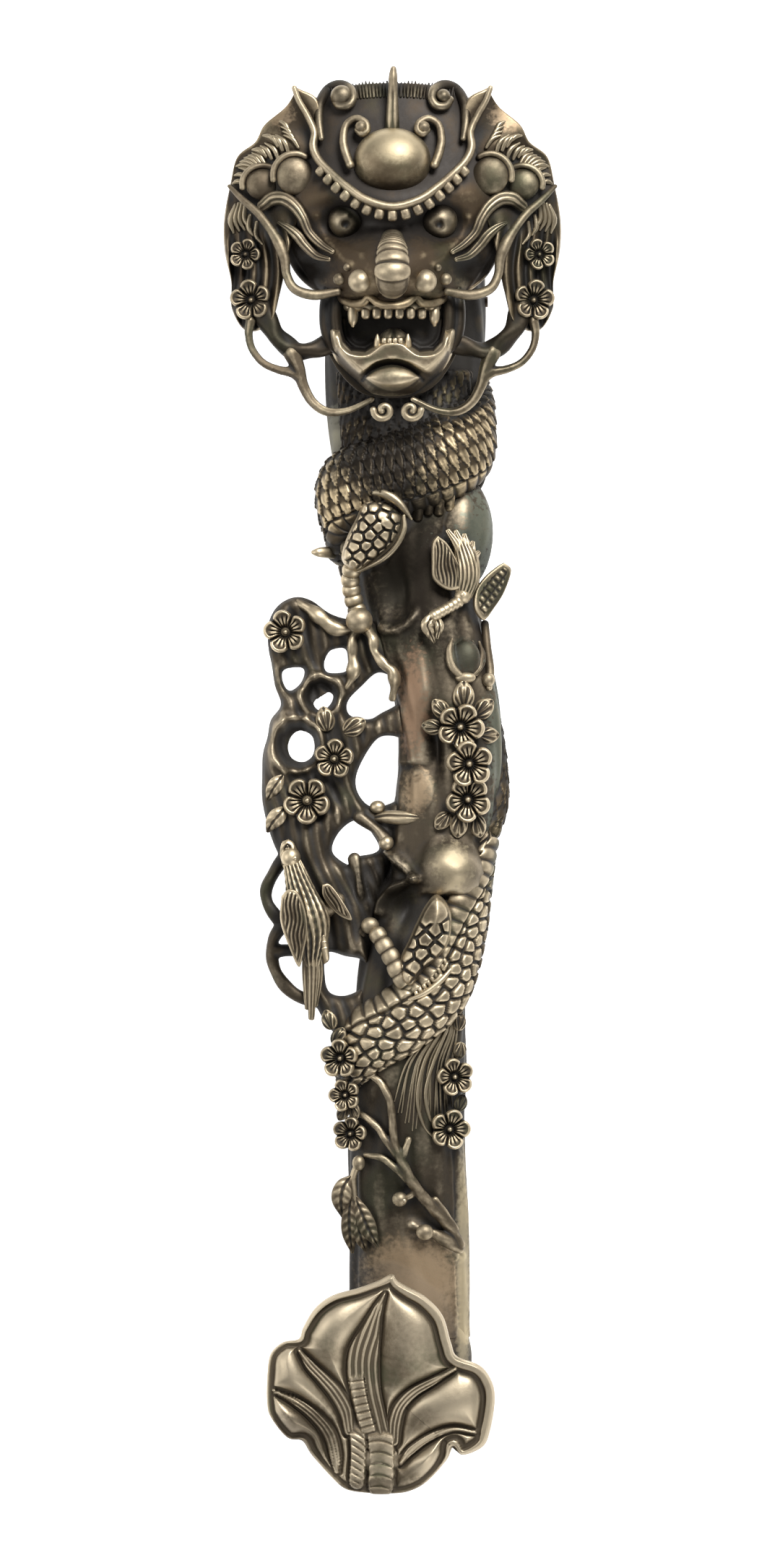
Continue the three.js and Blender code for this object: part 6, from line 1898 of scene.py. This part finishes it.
def smoothed(points, ends, rounds):
    """Points drawn towards the mean of those they share an edge with, in so many rounds."""
    first, second = ends
    count = len(points)
    joined = np.bincount(first, minlength=count) + np.bincount(second, minlength=count)
    for _ in range(rounds):
        around = [
            np.bincount(first, points[second, axis], count) + np.bincount(second, points[first, axis], count)
            for axis in range(3)
        ]
        points = 0.35 * points + 0.65 * np.stack(around, axis=1) / np.maximum(joined, 1)[:, None]
    return points


for piece, tone_shift in castings:
    mesh = piece.data
    points = coordinates(piece)
    normals = np.empty(3 * len(points))
    mesh.vertex_normals.foreach_get("vector", normals)
    normals = normals.reshape(-1, 3)
    ends = np.empty(2 * len(mesh.edges), dtype=np.int32)
    mesh.edges.foreach_get("vertices", ends)
    ends = ends.reshape(-1, 2).T
    spacing = np.median(np.linalg.norm(points[ends[0]] - points[ends[1]], axis=1))
    fine = smoothed(points, ends, int(np.clip((FINE_REACH / spacing) ** 2, 1, 24)))
    broad = smoothed(points, ends, int(np.clip((BROAD_REACH / spacing) ** 2, 4, 60)))
    fine_ridge = np.einsum("ij,ij->i", points - fine, normals)
    broad_ridge = np.einsum("ij,ij->i", points - broad, normals)
    edges = np.clip(1.4 * fine_ridge, -0.8, 0.24)
    swellings = np.clip(0.6 * broad_ridge, -0.6, 0.18)
    wear = np.clip(0.5 + tone_shift + edges + swellings, 0, 1)
    # How low a point lies under the mean height of all castings around it: patina in its own hollows, and
    # painted shade where another piece stands over it.
    recess = np.zeros(len(points))
    for facing, means in zip((1, -1), levels):
        towards = smooth(0.0, 0.5, facing * normals[:, 2])
        depth_near = means[0][cell_of(points)] - facing * points[:, 2]
        depth_far = means[1][cell_of(points)] - facing * points[:, 2]
        recess += towards * np.clip(0.22 * depth_near + np.clip(0.075 * depth_far, -0.15, 0.35), -0.25, 1)
    for name, values in (("wear", wear), ("recess", np.clip(recess, -0.3, 1))):
        layer = mesh.attributes.new(name, "FLOAT", "POINT")
        layer.data.foreach_set("value", values.astype(np.float32))


# Studio: a plain white table, a broad soft light over the head, softer ones on the left and below the leaf,
# and a pale room. The camera looks straight down.

bpy.ops.mesh.primitive_plane_add(size=8, location=(0, 0, 0))
table = bpy.context.object
table.name = "table"
paint = bpy.data.materials.new("table_paint")
paint.use_nodes = True
table_surface = paint.node_tree.nodes["Principled BSDF"]
table_surface.inputs["Base Color"].default_value = (0.8, 0.8, 0.8, 1)
table_surface.inputs["Roughness"].default_value = 0.9
table_surface.inputs["Emission Color"].default_value = (1, 1, 1, 1)
table_surface.inputs["Emission Strength"].default_value = 0.85
table.data.materials.append(paint)


def softbox(name, location, size, watts):
    bpy.ops.object.light_add(type="AREA", location=location)
    light = bpy.context.object
    light.name = name
    light.data.shape = "DISK"
    light.data.size = size
    light.data.energy = watts
    light.rotation_euler = (-Vector(location)).to_track_quat("-Z", "Y").to_euler()


softbox("key", (0.45, 1.05, 1.25), 0.7, 45)
softbox("fill", (-1.3, 0.1, 1.0), 1.1, 12)
softbox("low", (0.7, -1.3, 0.9), 1.0, 11)
room = bpy.data.worlds.new("room")
room.use_nodes = True
room.node_tree.nodes["Background"].inputs["Color"].default_value = (0.97, 0.98, 1.0, 1)
room.node_tree.nodes["Background"].inputs["Strength"].default_value = 0.26
bpy.context.scene.world = room
bpy.context.scene.view_settings.view_transform = "Standard"

FRAME_HEIGHT = 463.5
CAMERA_HEIGHT = 2500
AIM = (-0.7, -0.4, 30)
camera = bpy.data.objects.new("camera", bpy.data.cameras.new("camera"))
bpy.context.scene.collection.objects.link(camera)
camera.location = (AIM[0] * MILLIMETRE, AIM[1] * MILLIMETRE, (CAMERA_HEIGHT + AIM[2]) * MILLIMETRE)
camera.data.lens = camera.data.sensor_width * CAMERA_HEIGHT / FRAME_HEIGHT
camera.data.clip_end = 20
bpy.context.scene.camera = camera
